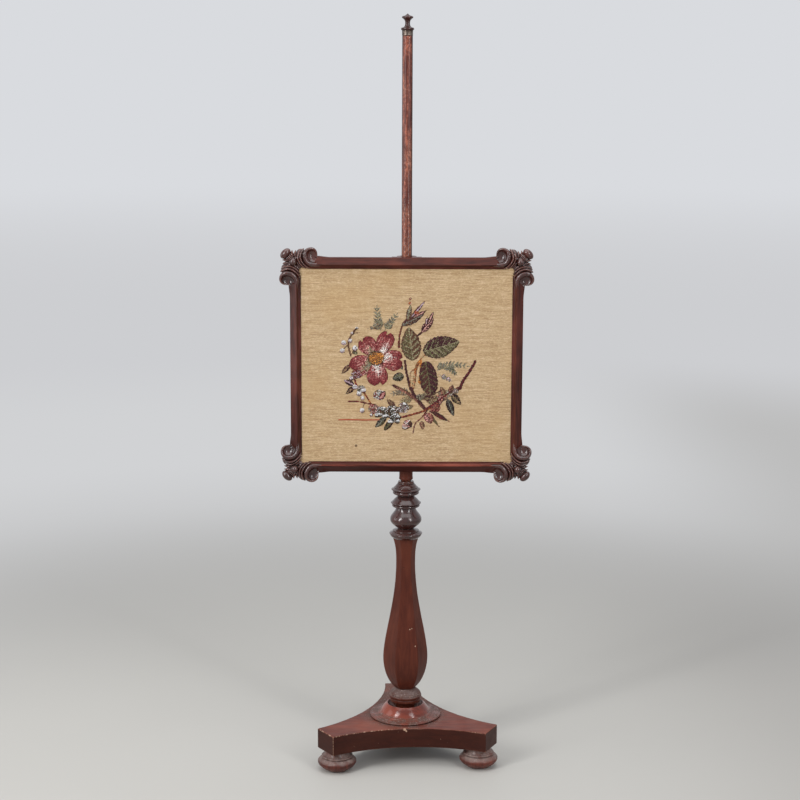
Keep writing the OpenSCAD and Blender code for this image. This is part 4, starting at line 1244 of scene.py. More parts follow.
def make_corners():
    """Four corners from one carving, mirrored to each corner of the opening."""
    points, quads = carve_corner()
    sides = {"top_left": (1, 1), "top_right": (-1, 1), "bottom_left": (1, -1), "bottom_right": (-1, -1)}
    for name, (along, up) in sides.items():
        x = along * (OPENING_LOW[0] + points[:, 0])
        z = OPENING_HIGH[1] + points[:, 1] if up > 0 else OPENING_LOW[1] - points[:, 1]
        placed = np.column_stack([x, BACK_Y - points[:, 2], z])
        obj = write_mesh("carved_corner_" + name, placed, [quads if along * up > 0 else quads[:, ::-1]])
        mark_edges(obj, rounds=3, gain=0.9)
        dress(obj, "screen", CARVED, ["corner_" + name])


# Needlework: places are (x, z) in millimetres from the middle of the opening

STITCH = 1.5
STITCH_TURN = math.radians(-45)
TURN_SPREAD = 0.18
SHADE_SPREAD = 0.15
STITCH_SIZES = (0.9, 1.15)
GROUND_PITCH = 1.9
SPRAY_REACH = 142.0
THREADS = {
    "wine": (114, 50, 53), "rose": (148, 82, 80), "blush": (186, 140, 132), "cream": (208, 197, 191),
    "pearl": (240, 238, 240), "sage": (133, 126, 99), "moss": (98, 93, 66), "bottle": (58, 59, 48),
    "plum": (64, 37, 42), "umber": (94, 67, 52), "ochre": (180, 121, 58), "rust": (150, 91, 56),
    "slate": (110, 109, 99), "maroon": (98, 38, 42), "bark": (80, 52, 46), "fawn": (136, 112, 86),
    "lilac": (172, 150, 158), "black": (44, 30, 32), "coral": (190, 92, 68), "clay": (150, 102, 88),
}


class Spray:
    """A square of counted stitches. Each paint call colours the stitches inside one shape."""

    def __init__(self):
        count = int(2 * SPRAY_REACH / STITCH)
        line = (np.arange(count) - (count - 1) / 2) * STITCH
        self.x, self.z = [a.ravel() for a in np.meshgrid(line, line)]
        self.rng = np.random.default_rng(5)
        self.colour = np.zeros((len(self.x), 3))
        self.filled = np.zeros(len(self.x), dtype=bool)
        self.beaded = np.zeros(len(self.x), dtype=bool)

    def put(self, inside, thread, beaded=False):
        """Colours the stitches of a mask with one thread."""
        self.colour[inside] = THREADS[thread]
        self.filled |= inside
        self.beaded = np.where(inside, beaded, self.beaded)

    def local(self, base, tip):
        """Share along base to tip, and signed distance to its left, of every stitch."""
        base, tip = np.array(base, dtype=float), np.array(tip, dtype=float)
        length = np.hypot(*(tip - base))
        ahead = (tip - base) / length
        dx, dz = self.x - base[0], self.z - base[1]
        return (dx * ahead[0] + dz * ahead[1]) / length, dz * ahead[0] - dx * ahead[1]

    def leaf(self, base, tip, width, light, dark, vein, edge, teeth=9, broad=0.32, belly=0.8, full=0.75):
        """A leaf whose half width follows a sine of the share along it, with saw teeth.

        light fills its left half and dark its right one. Veins slant out from a midrib, broad ones on the
        right, and the edge thread lines the rim. belly moves the widest place to the tip and a small full
        makes it blunt.
        """
        share, left = self.local(base, tip)
        s = np.clip(share, 0, 1)
        half = width / 2 * np.sin(np.pi * s ** belly) ** full * (0.93 + 0.14 * ((s * teeth) % 1))
        q = left / np.maximum(half, 0.1)
        inside = (share > 0) & (share < 1) & (np.abs(q) < 1)
        pick = self.rng.random(len(s))
        on_left = q >= 0
        self.put(inside & on_left, light)
        self.put(inside & ~on_left, dark)
        self.put(inside & (pick > 0.85), dark)
        slant_at = ((s - 0.2 * np.abs(q)) * 6) % 1
        reach = np.where(on_left, 0.45 * broad, broad)
        self.put(inside & (slant_at < reach) & (np.abs(q) < 0.85) & (pick > 0.3), vein)
        self.put(inside & (slant_at > 0.80) & (np.abs(q) < 0.95) & (pick < 0.75), edge)
        self.put(inside & (pick < 0.06 + 0.35 * np.abs(q) ** 3 + 0.25 * np.clip(s - 0.6, 0, 1)), edge)
        self.put(inside & (np.abs(left) < 0.8), vein)
        self.put(inside & (np.abs(left) > half - 1.4), edge)

    def petal(self, base, angle, length, width, inner, reach, lean):
        """A petal that widens to two thirds of its length and ends in a wavy rim with a notch.

        Dark streaks run along its rose body. A tongue of the inner thread reaches up to a share of its
        length, moved to its left by lean, and the rim is dark.
        """
        heading = math.radians(angle)
        tip = base[0] + length * math.cos(heading), base[1] + length * math.sin(heading)
        share, left = self.local(base, tip)
        s = np.clip(share, 0, 1.2)
        widest = 0.66
        widening = np.sin(np.pi / 2 * np.clip(s / widest, 0, 1)) ** 1.2
        closing = np.sqrt(np.clip(1 - np.clip((s - widest) / 0.36, 0, 1) ** 2.2, 0, 1))
        half = width / 2 * np.where(s < widest, widening, closing)
        q = left / np.maximum(half, 0.1)
        notch = 0.10 * np.exp(-((left - 0.08 * width) / (0.10 * width)) ** 2)
        rim = 1 - notch - 0.025 * np.sin(0.8 * left + angle)
        inside = (share > 0.2) & (share < rim) & (np.abs(q) < 1)
        pick = self.rng.random(len(s))
        streak = np.sin(left * 1.7 + 2.5 * np.sin(0.3 * left + angle))
        tongue = reach - 0.5 * np.abs(q - lean) + 0.08 * streak + 0.16 * (pick - 0.5)
        self.put(inside, "rose")
        self.put(inside & (streak + 1.4 * (pick - 0.5) < -0.2), "wine")
        self.put(inside & (streak > 0.7) & (pick > 0.5), "blush")
        self.put(inside & (s + 0.10 * streak > 0.84), "wine")
        self.put(inside & (pick < 0.10), "maroon")
        self.put(inside & (s < tongue + 0.14) & (pick > 0.3), "blush")
        self.put(inside & (s < tongue) & (pick > 0.32), inner)
        self.put(inside & (s < tongue - 0.1) & (pick < 0.3), "slate")
        rim_mark = (np.abs(left) > half - 1.3) | (share > rim - 0.03)
        self.put(inside & rim_mark & (pick < 0.75), "maroon")

    def near_line(self, points):
        """Distance of every stitch to a broken line, and the share along the line of its nearest point."""
        points = curve_through(points, 40)
        start, step = points[:-1], np.diff(points, axis=0)
        dx = self.x[:, None] - start[:, 0]
        dz = self.z[:, None] - start[:, 1]
        t = np.clip((dx * step[:, 0] + dz * step[:, 1]) / (step ** 2).sum(axis=1), 0, 1)
        away = np.hypot(dx - t * step[:, 0], dz - t * step[:, 1])
        nearest = away.argmin(axis=1)
        rows = np.arange(len(away))
        return away[rows, nearest], (nearest + t[rows, nearest]) / len(step)

    def stem(self, points, width, thread, shade, taper=0.4, thorns=0):
        """A stem: stitches near a curve, thinner to its end, with stitches of a second thread here and there,
        and thorns where asked.
        """
        away, share = self.near_line(points)
        half = width / 2 * (1 - taper * share)
        if thorns:
            half = half + 1.1 * (((share * thorns) % 1) < 0.3)
        inside = away < np.maximum(half, 0.62)
        self.put(inside, thread)
        self.put(inside & (self.rng.random(len(away)) < 0.4), shade)

    def frond(self, points, length, count, thread, shade):
        """A fern sprig: a thin stem with pairs of slanting leaflets, shorter to the tip."""
        samples = 60
        line = curve_through(points, samples)
        self.stem(points, 1.4, shade, thread, 0.2)
        for k in range(count):
            at = int(10 + 46 * k / count)
            here = line[at]
            ahead = line[min(at + 3, samples - 1)] - line[at - 3]
            heading = math.atan2(ahead[1], ahead[0])
            size = length * (1 - 0.45 * k / count)
            for lean in (0.8, -0.8):
                end = here + size * np.array([math.cos(heading + lean), math.sin(heading + lean)])
                share, left = self.local(here, end)
                blade = 1.3 * np.sin(np.pi * np.clip(share, 0, 1)) + 0.45
                inside = (share > 0) & (share < 1) & (np.abs(left) < blade)
                pick = self.rng.random(len(share))
                self.put(inside & (pick < 0.55), thread)
                self.put(inside & (pick >= 0.55), shade)
                self.put(inside & (left * lean > 0.4) & (pick < 0.35), "bark")

    def blossom(self, at, size, thread="pearl", eye="lilac"):
        """A small round flower of beads: a darker lower side, a few stitches of eye, a dark outline below."""
        away = np.hypot(self.x - at[0], self.z - at[1])
        low = self.z < at[1] - 0.35 * size
        inside = away < size
        pick = self.rng.random(len(away))
        self.put((away < size + 1.3) & low & (pick < 0.7), "bark")
        self.put(inside, thread, True)
        self.put(inside & (low | (pick < 0.12)), eye, True)
        self.put(inside & (pick > 0.93), "bottle")

    def cluster(self, at, size, threads):
        """A loose mass of short stitches in several threads."""
        away = np.hypot(self.x - at[0], (self.z - at[1]) * 1.15)
        pick = self.rng.random(len(away))
        dense = 0.82
        inside = (away < size) & (pick < dense)
        which = (pick / dense * len(threads)).astype(int)
        for number, thread in enumerate(threads):
            self.put(inside & (which == number), thread, thread in ("cream", "pearl", "lilac"))


def paint_spray():
    """The spray: a dog rose with leaves, buds, ferns and thorny twigs, and small bead blossoms below."""
    sew = Spray()
    # Ferns lie behind everything else
    sew.frond([(-50, 68), (-56, 90), (-59, 122)], 14, 7, "slate", "sage")
    sew.frond([(-44, 70), (-34, 84), (-17, 107)], 12, 6, "slate", "sage")
    sew.frond([(-48, 74), (-60, 79), (-76, 75)], 9, 4, "slate", "fawn")
    sew.frond([(62, -8), (90, 3), (124, 0)], 13, 7, "slate", "sage")
    sew.frond([(66, -18), (78, -23), (91, -31)], 8, 4, "slate", "lilac")
    sew.frond([(62, -8), (66, 0), (68, 10)], 7, 3, "slate", "sage")
    sew.frond([(84, 4), (90, -8), (101, -18)], 9, 4, "slate", "moss")
    sew.frond([(8, -58), (-8, -52), (-32, -56)], 12, 6, "fawn", "slate")
    sew.frond([(14, -66), (2, -68), (-14, -72)], 11, 5, "fawn", "sage")
    # Stems
    sew.stem([(-3, 11), (0, -12), (8, -46)], 4.4, "plum", "bark", 0.0)
    sew.stem([(27, 12), (20, -6), (17, -32), (14, -46)], 3.4, "rust", "bark")
    sew.stem([(39, 24), (26, 12), (18, -2), (12, -40)], 2.8, "rust", "moss")
    sew.stem([(28, 10), (30, -8), (26, -32)], 6.0, "rust", "ochre", 0.1)
    sew.stem([(20, -4), (8, -14), (8, -40)], 2.6, "rust", "umber")
    sew.stem([(-24, -40), (0, -52), (18, -66), (38, -88)], 6.0, "bark", "clay", 0.0)
    sew.stem([(-28, -38), (-10, -45), (8, -54)], 3.0, "umber", "plum")
    sew.stem([(9, -44), (16, -58), (38, -86)], 6.6, "plum", "bark", 0.2)
    sew.stem([(38, -88), (66, -72), (88, -54), (108, -40)], 4.0, "maroon", "bark", 0.1, 7)
    sew.stem([(106, -44), (112, -30), (124, -12), (136, 9)], 5.6, "plum", "maroon", 0.2, 7)
    sew.stem([(-9, -103), (16, -96), (40, -88), (65, -74)], 4.0, "maroon", "rust", 0.1)
    sew.stem([(42, -88), (30, -104), (18, -116), (14, -134)], 2.6, "maroon", "bark", 0.1)
    sew.stem([(46, -90), (64, -100), (74, -106), (86, -111)], 3.0, "plum", "maroon")
    sew.stem([(52, -100), (58, -112), (66, -122)], 2.4, "bark", "umber")
    sew.stem([(-15, 37), (-14, 60), (-8, 84)], 3.6, "umber", "maroon", 0.1)
    sew.stem([(21, 60), (32, 70), (38, 78)], 3.6, "plum", "bark", 0.1)
    sew.stem([(-98, 77), (-110, 60), (-115, 43), (-110, 20)], 3.6, "umber", "bark", 0.1)
    sew.stem([(-111, 60), (-102, 66), (-93, 67)], 2.6, "fawn", "umber")
    sew.stem([(-115, 43), (-122, 36), (-126, 34)], 2.8, "umber", "plum")
    sew.stem([(-104, -20), (-98, -40), (-84, -54), (-70, -76)], 3.4, "maroon", "rust", 0.1)
    sew.stem([(-70, -76), (-50, -84), (-30, -92), (-8, -104)], 3.0, "umber", "plum")
    sew.stem([(-115, -71), (-92, -72), (-69, -77)], 2.6, "maroon", "bark", 0.0)
    sew.stem([(-84, -72), (-85, -80), (-88, -86)], 1.8, "plum", "bark")
    # Leaves
    sew.leaf((13, 11), (4, 78), 39, "moss", "umber", "sage", "bark", 9, 0.5)
    sew.leaf((33, 29), (105, 50), 43, "plum", "moss", "sage", "plum", 10, 0.4)
    sew.leaf((38, 10), (49, -56), 36, "plum", "bark", "moss", "plum", 9, 0.34, 1.15, 0.35)
    sew.leaf((-5, -18), (-28, -26), 17, "bottle", "moss", "slate", "black", 4)
    sew.leaf((-14, 10), (-8, -8), 7, "bottle", "moss", "slate", "black", 3)
    sew.leaf((-112, 2), (-128, -15), 10, "umber", "bark", "fawn", "plum", 4)
    sew.leaf((-104, -38), (-124, -28), 11, "plum", "bark", "lilac", "black", 4)
    sew.leaf((-103, -42), (-120, -56), 10, "umber", "plum", "fawn", "black", 4)
    sew.leaf((-40, -102), (-62, -124), 13, "moss", "bottle", "slate", "black", 5)
    sew.leaf((-28, -110), (-44, -130), 12, "umber", "bottle", "moss", "black", 5)
    sew.leaf((-22, -84), (-38, -66), 11, "umber", "plum", "fawn", "bark", 4)
    sew.leaf((82, -66), (94, -100), 14, "bottle", "black", "slate", "black", 5)
    sew.leaf((90, -56), (108, -77), 15, "black", "moss", "fawn", "black", 5)
    sew.leaf((50, -66), (32, -60), 9, "bottle", "moss", "fawn", "plum", 4)
    sew.leaf((52, -92), (84, -111), 9, "plum", "maroon", "bark", "black", 5)
    sew.leaf((52, -104), (65, -122), 5, "moss", "fawn", "moss", "umber", 3)
    sew.leaf((0, -84), (14, -80), 9, "moss", "sage", "fawn", "umber", 3)
    # Buds on long stems
    sew.leaf((-9, 82), (34, 104), 16, "bark", "umber", "slate", "plum", 5)
    sew.leaf((2, 92), (8, 122), 11, "slate", "plum", "sage", "umber", 4)
    sew.leaf((8, 96), (37, 131), 7, "bark", "plum", "lilac", "bark", 5)
    sew.leaf((14, 98), (39, 111), 7, "bark", "plum", "blush", "bark", 4)
    sew.cluster((20, 106), 4.6, ["coral", "rust", "blush", "wine"])
    sew.cluster((6, 125), 3.6, ["rust", "blush"])
    sew.cluster((7, 134), 3.0, ["plum", "maroon"])
    sew.leaf((30, 68), (53, 96), 15, "plum", "bark", "blush", "plum", 5)
    sew.leaf((42, 84), (53, 109), 7, "plum", "bark", "blush", "black", 4)
    sew.leaf((38, 82), (41, 100), 5, "lilac", "bark", "lilac", "bark", 3)
    # Dog rose
    rose = (-60, 16)
    petals = ((124, 48, 36, "sage", 0.56, 0.1), (62, 58, 34, "cream", 0.58, -0.4),
              (205, 55, 42, "sage", 0.68, 0.5), (274, 55, 42, "cream", 0.58, 0.1),
              (-7, 53, 42, "cream", 0.60, 0.3))
    for angle, length, width, inner, reach, lean in petals:
        sew.petal(rose, angle, length, width, inner, reach, lean)
    sew.cluster(rose, 17, ["umber", "black", "moss", "umber"])
    sew.cluster(rose, 14, ["ochre", "rust", "ochre", "umber"])
    sew.cluster((-50, 22), 6, ["ochre", "ochre", "rust"])
    # Small flowers, hips and beads
    sew.cluster((-54, -58), 12, ["pearl", "slate", "wine", "bottle", "pearl"])
    sew.leaf((-52, -66), (-42, -50), 11, "wine", "rose", "blush", "black", 3)
    sew.cluster((-64, -86), 12, ["wine", "umber", "blush", "slate"])
    sew.cluster((-48, -92), 13, ["pearl", "bottle", "bark", "bottle"])
    sew.cluster((-28, -92), 15, ["bottle", "pearl", "slate", "black", "umber"])
    sew.cluster((-6, -84), 12, ["slate", "pearl", "bark", "lilac"])
    sew.cluster((-22, -104), 11, ["pearl", "bottle", "bottle", "black"])
    sew.cluster((40, -60), 10, ["bark", "sage", "umber", "plum"])
    sew.cluster((52, -66), 13, ["umber", "fawn", "bark", "sage"])
    sew.cluster((72, -60), 11, ["clay", "fawn", "umber", "slate"])
    sew.cluster((58, -84), 10, ["clay", "rose", "maroon", "bark"])
    sew.cluster((84, -54), 9, ["cream", "slate", "umber", "sage"])
    sew.cluster((97, -50), 7, ["slate", "cream", "umber"])
    sew.cluster((28, -62), 8, ["slate", "plum", "sage"])
    sew.leaf((76, -58), (68, -41), 10, "clay", "umber", "fawn", "bark", 3)
    sew.leaf((86, -54), (92, -37), 10, "clay", "umber", "bark", "bark", 3)
    sew.leaf((70, -56), (66, -78), 12, "clay", "blush", "umber", "bark", 3)
    sew.leaf((34, -66), (53, -63), 8, "bottle", "moss", "fawn", "plum", 3)
    sew.stem([(42, -84), (62, -70), (84, -54)], 3.4, "maroon", "plum", 0.1)
    sew.stem([(40, -60), (54, -56), (70, -48)], 2.6, "bark", "plum", 0.1)
    sew.leaf((40, -94), (50, -116), 18, "clay", "blush", "bark", "maroon", 4)
    sew.leaf((30, -110), (34, -128), 10, "umber", "clay", "fawn", "bark", 3)
    sew.leaf((6, -108), (-2, -128), 17, "blush", "rose", "cream", "bark", 4)
    sew.leaf((6, -110), (10, -124), 9, "bark", "plum", "umber", "black", 3)
    sew.blossom((-3, -121), 5.6, "blush", "cream")
    sew.cluster((-99, -16), 11, ["wine", "umber", "lilac", "plum"])
    sew.cluster((-90, -46), 9, ["bottle", "slate", "cream"])
    blossoms = (((-124, 47), 4.6), ((-127, 31), 4.6), ((-111, 51), 4.0), ((-102, 36), 5.4),
                ((-98, 76), 2.6), ((-108, 66), 2.6), ((-109, -24), 3.8), ((-102, -42), 4.6),
                ((-94, -55), 5.0), ((-85, -48), 4.4), ((-87, -64), 4.2), ((-88, -89), 4.6),
                ((-46, -86), 4.6), ((-58, -98), 4.6), ((-27, -87), 4.0), ((-32, -111), 4.4),
                ((-17, -111), 4.2), ((-40, -100), 3.8), ((-16, -102), 3.6), ((-4, -76), 3.4),
                ((-70, -98), 2.8), ((-53, -97), 4.0))
    for at, size in blossoms:
        sew.blossom(at, size, "pearl", "lilac" if at[0] < -60 else "bottle")
    sew.leaf((-100, 30), (-108, 25), 6, "moss", "bottle", "sage", "umber", 3)
    sew.leaf((-104, 28), (-96, 24), 6, "moss", "umber", "sage", "bottle", 3)
    return sew


CLOTH_GLOSS = 0.1


def wool_material():
    """Worsted wool: the thread's own colour, frayed by fine noise, with a soft sheen."""
    material, tree, shader, where = new_material("worsted_wool")
    fray = noise(tree, where, scale=1400)
    colour = layered(tree, attribute(tree, "thread", "Color"), (fray, 0.40, 0.70, 0.0, 0.06, (130, 110, 92)))
    surface(tree, shader, colour, scale_to(tree, fray, 0.3, 0.7, 0.75, 0.95), fray, strength=0.5,
            depth=0.3 * MM, Specular_IOR_Level=CLOTH_GLOSS)
    return material


def bead_material():
    """Glass beads: the bead's colour, a little cloudy, under a clear skin."""
    material, tree, shader, where = new_material("glass_beads")
    cloud = noise(tree, where, scale=500, detail=2)
    colour = layered(tree, attribute(tree, "thread", "Color"), (cloud, 0.4, 0.7, 0.0, 0.2, (235, 230, 226)))
    surface(tree, shader, colour, scale_to(tree, cloud, 0.3, 0.7, 0.12, 0.3), Coat_Weight=0.6)
    return material


def canvas_material():
    """Ground of the canvas: tan wool in level rows of small slanted stitches, darker between them as painted
    shade, with slubs, stains and a small dark spot.

    A stitch is the product of a sine across the rows and a sine along a slanting line, both taken positive.
    """
    material, tree, shader, where = new_material("stitched_ground")
    parts = axes(tree, where)
    turns = math.pi / (GROUND_PITCH * MM)
    leaning = calc(tree, "ADD", parts["X"], calc(tree, "MULTIPLY", parts["Z"], 0.7))
    row = calc(tree, "ABSOLUTE", calc(tree, "SINE", calc(tree, "MULTIPLY", parts["Z"], turns)))
    slash = calc(tree, "ABSOLUTE", calc(tree, "SINE", calc(tree, "MULTIPLY", leaning, turns)))
    stitch = calc(tree, "MULTIPLY", row, slash)
    slubs = noise(tree, stretch(tree, where, 0.07, 1, 1), scale=480, roughness=0.6)
    specks = noise(tree, stretch(tree, where, 0.5, 1, 1), scale=480, detail=2, roughness=0.6)
    stains = noise(tree, where, scale=8, detail=4, roughness=0.6)
    hole_x, hole_z = -100, SCREEN_MID_Z - 161
    from_hole = add_node(tree, "VectorMath", {"operation": "DISTANCE"})
    put(tree, from_hole.inputs[0], where)
    from_hole.inputs[1].default_value = (hole_x * MM, CANVAS_LOW[1] * MM, hole_z * MM)
    # Lighter stitch crests over a darker ground are painted shade in the gaps between the stitches. The last
    # layer darkens a small round spot.
    colour = layered(
        tree, srgb(166, 138, 101),
        (stitch, 0.0, 0.5, 0.0, 1.0, (201, 174, 137)),
        (slubs, 0.36, 0.50, 0.54, 0.0, (158, 127, 92)), (slubs, 0.50, 0.66, 0.0, 0.38, (220, 195, 164)),
        (specks, 0.30, 0.46, 0.4, 0.0, (158, 129, 94)), (specks, 0.52, 0.70, 0.0, 0.5, (222, 199, 168)),
        (stains, 0.46, 0.72, 0.0, 0.35, (188, 155, 110)),
        (from_hole.outputs["Value"], 1.8 * MM, 3.4 * MM, 0.85, 0.0, (84, 60, 42)))
    relief = calc(tree, "ADD", stitch, slubs)
    surface(tree, shader, colour, scale_to(tree, slubs, 0.3, 0.7, 0.8, 0.95), relief, strength=0.6,
            depth=0.5 * MM, Specular_IOR_Level=CLOTH_GLOSS)
    return material


def paint_thread(obj, rgba):
    """Writes a linear colour to each point of a piece, as the attribute that wool and beads read."""
    layer = obj.data.attributes.new("thread", "FLOAT_COLOR", "POINT")
    layer.data.foreach_set("color", np.asarray(rgba, dtype=np.float32).ravel())


def write_threads(name, template, spray, chosen, colour, turn, size, rise):
    """Many small domes at once: a grid of points moved to each chosen stitch, turned in the plane and scaled.

    rise holds the swelling under each stitch and its slopes along x and z, which tilt the dome.
    """
    rows, cols, _ = template.shape
    across, along, lift = template.reshape(-1, 3).T
    sunk = 0.25
    x, z, colour, turn, size = [a[chosen] for a in (spray.x, spray.z, colour, turn, size)]
    swelling, slope_x, slope_z = [a[chosen][:, None] for a in rise]
    c, s = np.cos(turn)[:, None], np.sin(turn)[:, None]
    right = size[:, None] * (across * c - along * s)
    up = size[:, None] * (across * s + along * c)
    px = x[:, None] + right
    pz = SCREEN_MID_Z + z[:, None] + up
    py = CANVAS_LOW[1] + sunk - size[:, None] * lift - swelling - slope_x * right - slope_z * up
    points = np.stack([px, py, pz], axis=-1)
    quads = grid_quads(rows, cols)[None] + (np.arange(len(x)) * rows * cols)[:, None, None]
    obj = write_mesh(name, points.reshape(-1, 3), [quads.reshape(-1, 4)])
    rgba = np.column_stack([to_linear(colour), np.ones(len(colour))])
    paint_thread(obj, np.repeat(rgba, rows * cols, axis=0))
    return obj


def dome(rows, cols, half_along, half_across, height):
    """A pillow on a grid of a and b from -1 to 1, its border at level 0 and its corners drawn in.

    It stands up by height times the square root of (1 - a squared) times (1 - b squared).
    """
    drawn_in = 0.35
    a = np.linspace(-1, 1, rows)[:, None]
    b = np.linspace(-1, 1, cols)[None, :]
    along = half_along * np.broadcast_to(a, (rows, cols)) * np.sqrt(1 - drawn_in * b ** 2)
    across = half_across * np.broadcast_to(b, (rows, cols)) * np.sqrt(1 - drawn_in * a ** 2)
    lift = height * np.sqrt(np.clip((1 - a ** 2) * (1 - b ** 2), 0, 1))
    return np.stack([across, along, lift], axis=-1)


def make_canvas():
    """Canvas: a section of level rows carried across, each row the crest of a sine, closed behind."""
    rib_depth = 0.4
    width = CANVAS_HIGH[0] - CANVAS_LOW[0]
    z = np.linspace(CANVAS_LOW[2], CANVAS_HIGH[2], 1000)
    x = np.linspace(CANVAS_LOW[0], CANVAS_HIGH[0], 80)
    rng = np.random.default_rng(3)
    rib = np.abs(np.sin(np.pi * z / GROUND_PITCH))
    uneven = rng.uniform(0.6, 1.4, (len(x), len(z)))
    rings = np.empty((len(x), len(z) + 2, 3))
    rings[..., 0] = x[:, None]
    rings[:, :-2, 1] = CANVAS_LOW[1] + rib_depth - rib_depth * rib * uneven
    rings[:, :-2, 2] = z
    rings[:, -2:, 1] = CANVAS_HIGH[1]
    rings[:, -2, 2] = z[-1]
    rings[:, -1, 2] = z[0]
    points, faces = closed_tube(rings)
    obj = write_mesh("ribbed_ground", points, flip(faces))
    dress(obj, "screen", canvas_material(), ["needlework_canvas"])
    return obj, width / PER_METRE, (CANVAS_HIGH[2] - CANVAS_LOW[2]) / PER_METRE


def padding(filled):
    """Swelling of the stitched forms in millimetres, from their rim to their middle.

    The square mask of filled stitches is averaged with its neighbours a few times. Its upper half is kept.
    """
    padded = 1.8
    soft = filled.astype(float)
    for _ in range(4):
        soft = sum(np.roll(soft, shift, axis) for axis in (0, 1) for shift in (-1, 0, 1)) / 6
    return padded * np.clip(2 * soft - 1, 0, 1)


def make_needlework():
    """The canvas with its spray of slanted stitches and beads, and one loose red thread along the weave."""
    canvas, width, length = make_canvas()
    spray = paint_spray()
    rng, count = spray.rng, len(spray.x)
    shade = 1 + SHADE_SPREAD * rng.standard_normal(count)[:, None]
    colour = np.clip(spray.colour * shade, 8, 250)
    wool = spray.filled & ~spray.beaded
    beads = spray.filled & spray.beaded
    turn = STITCH_TURN + TURN_SPREAD * rng.standard_normal(count)
    size = rng.uniform(*STITCH_SIZES, count)
    side = int(round(math.sqrt(count)))
    swelling = padding(spray.filled.reshape(side, side))
    slope_z, slope_x = np.gradient(swelling, STITCH)
    rise = [a.ravel() for a in (swelling, slope_x, slope_z)]
    slanted = dome(rows=5, cols=3, half_along=1.2, half_across=0.75, height=0.55)
    round_bead = dome(rows=5, cols=5, half_along=0.74, half_across=0.74, height=1.25)
    stitches = write_threads("wool_stitches", slanted, spray, wool, colour, turn, size, rise)
    dress(stitches, "screen", wool_material())
    glass = write_threads("glass_bead_flowers", round_bead, spray, beads, colour, turn, size, rise)
    dress(glass, "screen", bead_material())
    thread = red_thread()


def red_thread():
    """One red thread laid level on the canvas: a thin round bar along a nearly straight path."""
    path = [(-135, -108.4), (-110, -108.2), (-84, -108.6), (-52, -108.2)]
    count, sides = 60, 10
    lift, half_t, half_h = 0.35, 0.75, 0.85
    line = curve_through(path, count)
    turn = circle(sides)
    rings = np.empty((count, sides, 3))
    rings[..., 0] = line[:, :1]
    rings[..., 1] = CANVAS_LOW[1] - lift - half_t * np.cos(turn)
    rings[..., 2] = SCREEN_MID_Z + line[:, 1:] + half_h * np.sin(turn)
    points, faces = closed_tube(rings)
    obj = write_mesh("red_thread", points, faces)
    paint_thread(obj, np.tile(srgb(168, 52, 36), (len(points), 1)))
    return dress(obj, "screen", bpy.data.materials["worsted_wool"])


make_plinth()
make_feet()
make_dish()
make_ring()
make_baluster()
make_capital()
make_pole()
make_finial()
make_sleeves()
make_rails()
make_corners()
make_needlework()

# CAD nodes that keep their shape
KEPT = {
    "strainer_top": BACK_WOOD, "strainer_bottom": BACK_WOOD, "strainer_left": BACK_WOOD,
    "strainer_right": BACK_WOOD, "back_board": BACK_WOOD, "board_brads": IRON, "bracket_screws": IRON,
    "upper_bracket": FRAME_UPRIGHT, "lower_bracket": FRAME_UPRIGHT, "clamp_bush": BRASS, "clamp_screw": BRASS,
    "base_washer": IRON, "base_bolt": IRON,
}
for node, material in KEPT.items():
    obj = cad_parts[node]
    obj.data.materials.clear()
    obj.data.materials.append(material)


# Stage, light and camera

BACKDROP = (217, 219, 223)


def seen_directly(tree):
    """1 for rays of the camera, of reflections and through glass, which see the backdrop's own tone."""
    ray = tree.nodes.new("ShaderNodeLightPath").outputs
    mirrored = calc(tree, "MAXIMUM", ray["Is Glossy Ray"], ray["Is Transmission Ray"])
    return calc(tree, "MAXIMUM", ray["Is Camera Ray"], mirrored)


def mix_shaders(tree, share, first, second, output):
    """Links a mix of two shaders to an output."""
    mix = tree.nodes.new("ShaderNodeMixShader")
    for index, value in enumerate((share, first, second)):
        put(tree, mix.inputs[index], value)
    put(tree, output.inputs["Surface"], mix.outputs[0])


def make_floor():
    """A wide flat floor, lit near the object, its tone darker to the back and to the right as painted shade.
    Further out the camera sees it fade into the backdrop, whose tone carries painted shade as well.
    """
    reach = 40000.0
    points = np.array([[-reach, -reach, 0], [reach, -reach, 0], [reach, reach, 0], [-reach, reach, 0]])
    floor = write_mesh("floor", points, [np.array([[0, 1, 2, 3]])])
    material, tree, shader, where = new_material("pale_floor")
    parts = axes(tree, where)
    tone = blend(tree, noise(tree, where, scale=1.2, detail=4), srgb(191, 189, 184), srgb(197, 195, 190))
    # Painted shade: the floor is darker further back and to the right.
    tone = layered(tree, tone, (parts["Y"], 0.1, 0.8, 0.0, 0.15, (168, 167, 165)),
                   (parts["X"], 0.3, 1.0, 0.0, 0.65, (170, 167, 163)))
    surface(tree, shader, tone, 0.6)
    away = add_node(tree, "VectorMath", {"operation": "LENGTH"})
    put(tree, away.inputs[0], where)
    distance = away.outputs["Value"]
    # The backdrop tone that the camera sees carries painted shade too: darker close in and to the right,
    # paler far off.
    haze = layered(tree, srgb(188, 188, 188), (distance, 1.2, 3.0, 0.0, 1.0, (209, 210, 212)),
                   (parts["X"], 0.6, 1.5, 0.0, 0.6, (174, 173, 171)),
                   (distance, 3.6, 5.5, 0.0, 1.0, (205, 206, 209)),
                   (distance, 7.0, 20.0, 0.0, 1.0, BACKDROP))
    glow = add_node(tree, "Emission", None, Color=haze, Strength=1.0)
    share = calc(tree, "MULTIPLY", scale_to(tree, distance, 0.8, 2.3), seen_directly(tree))
    output = next(n for n in tree.nodes if n.type == "OUTPUT_MATERIAL")
    mix_shaders(tree, share, shader.outputs["BSDF"], glow.outputs[0], output)
    floor.data.materials.append(material)


def matrix_of(x, y, z, at):
    """4 by 4 matrix from three axes and a place."""
    rows = [[x[i], y[i], z[i], at[i]] for i in range(3)] + [[0, 0, 0, 1]]
    return Matrix([[float(v) for v in row] for row in rows])


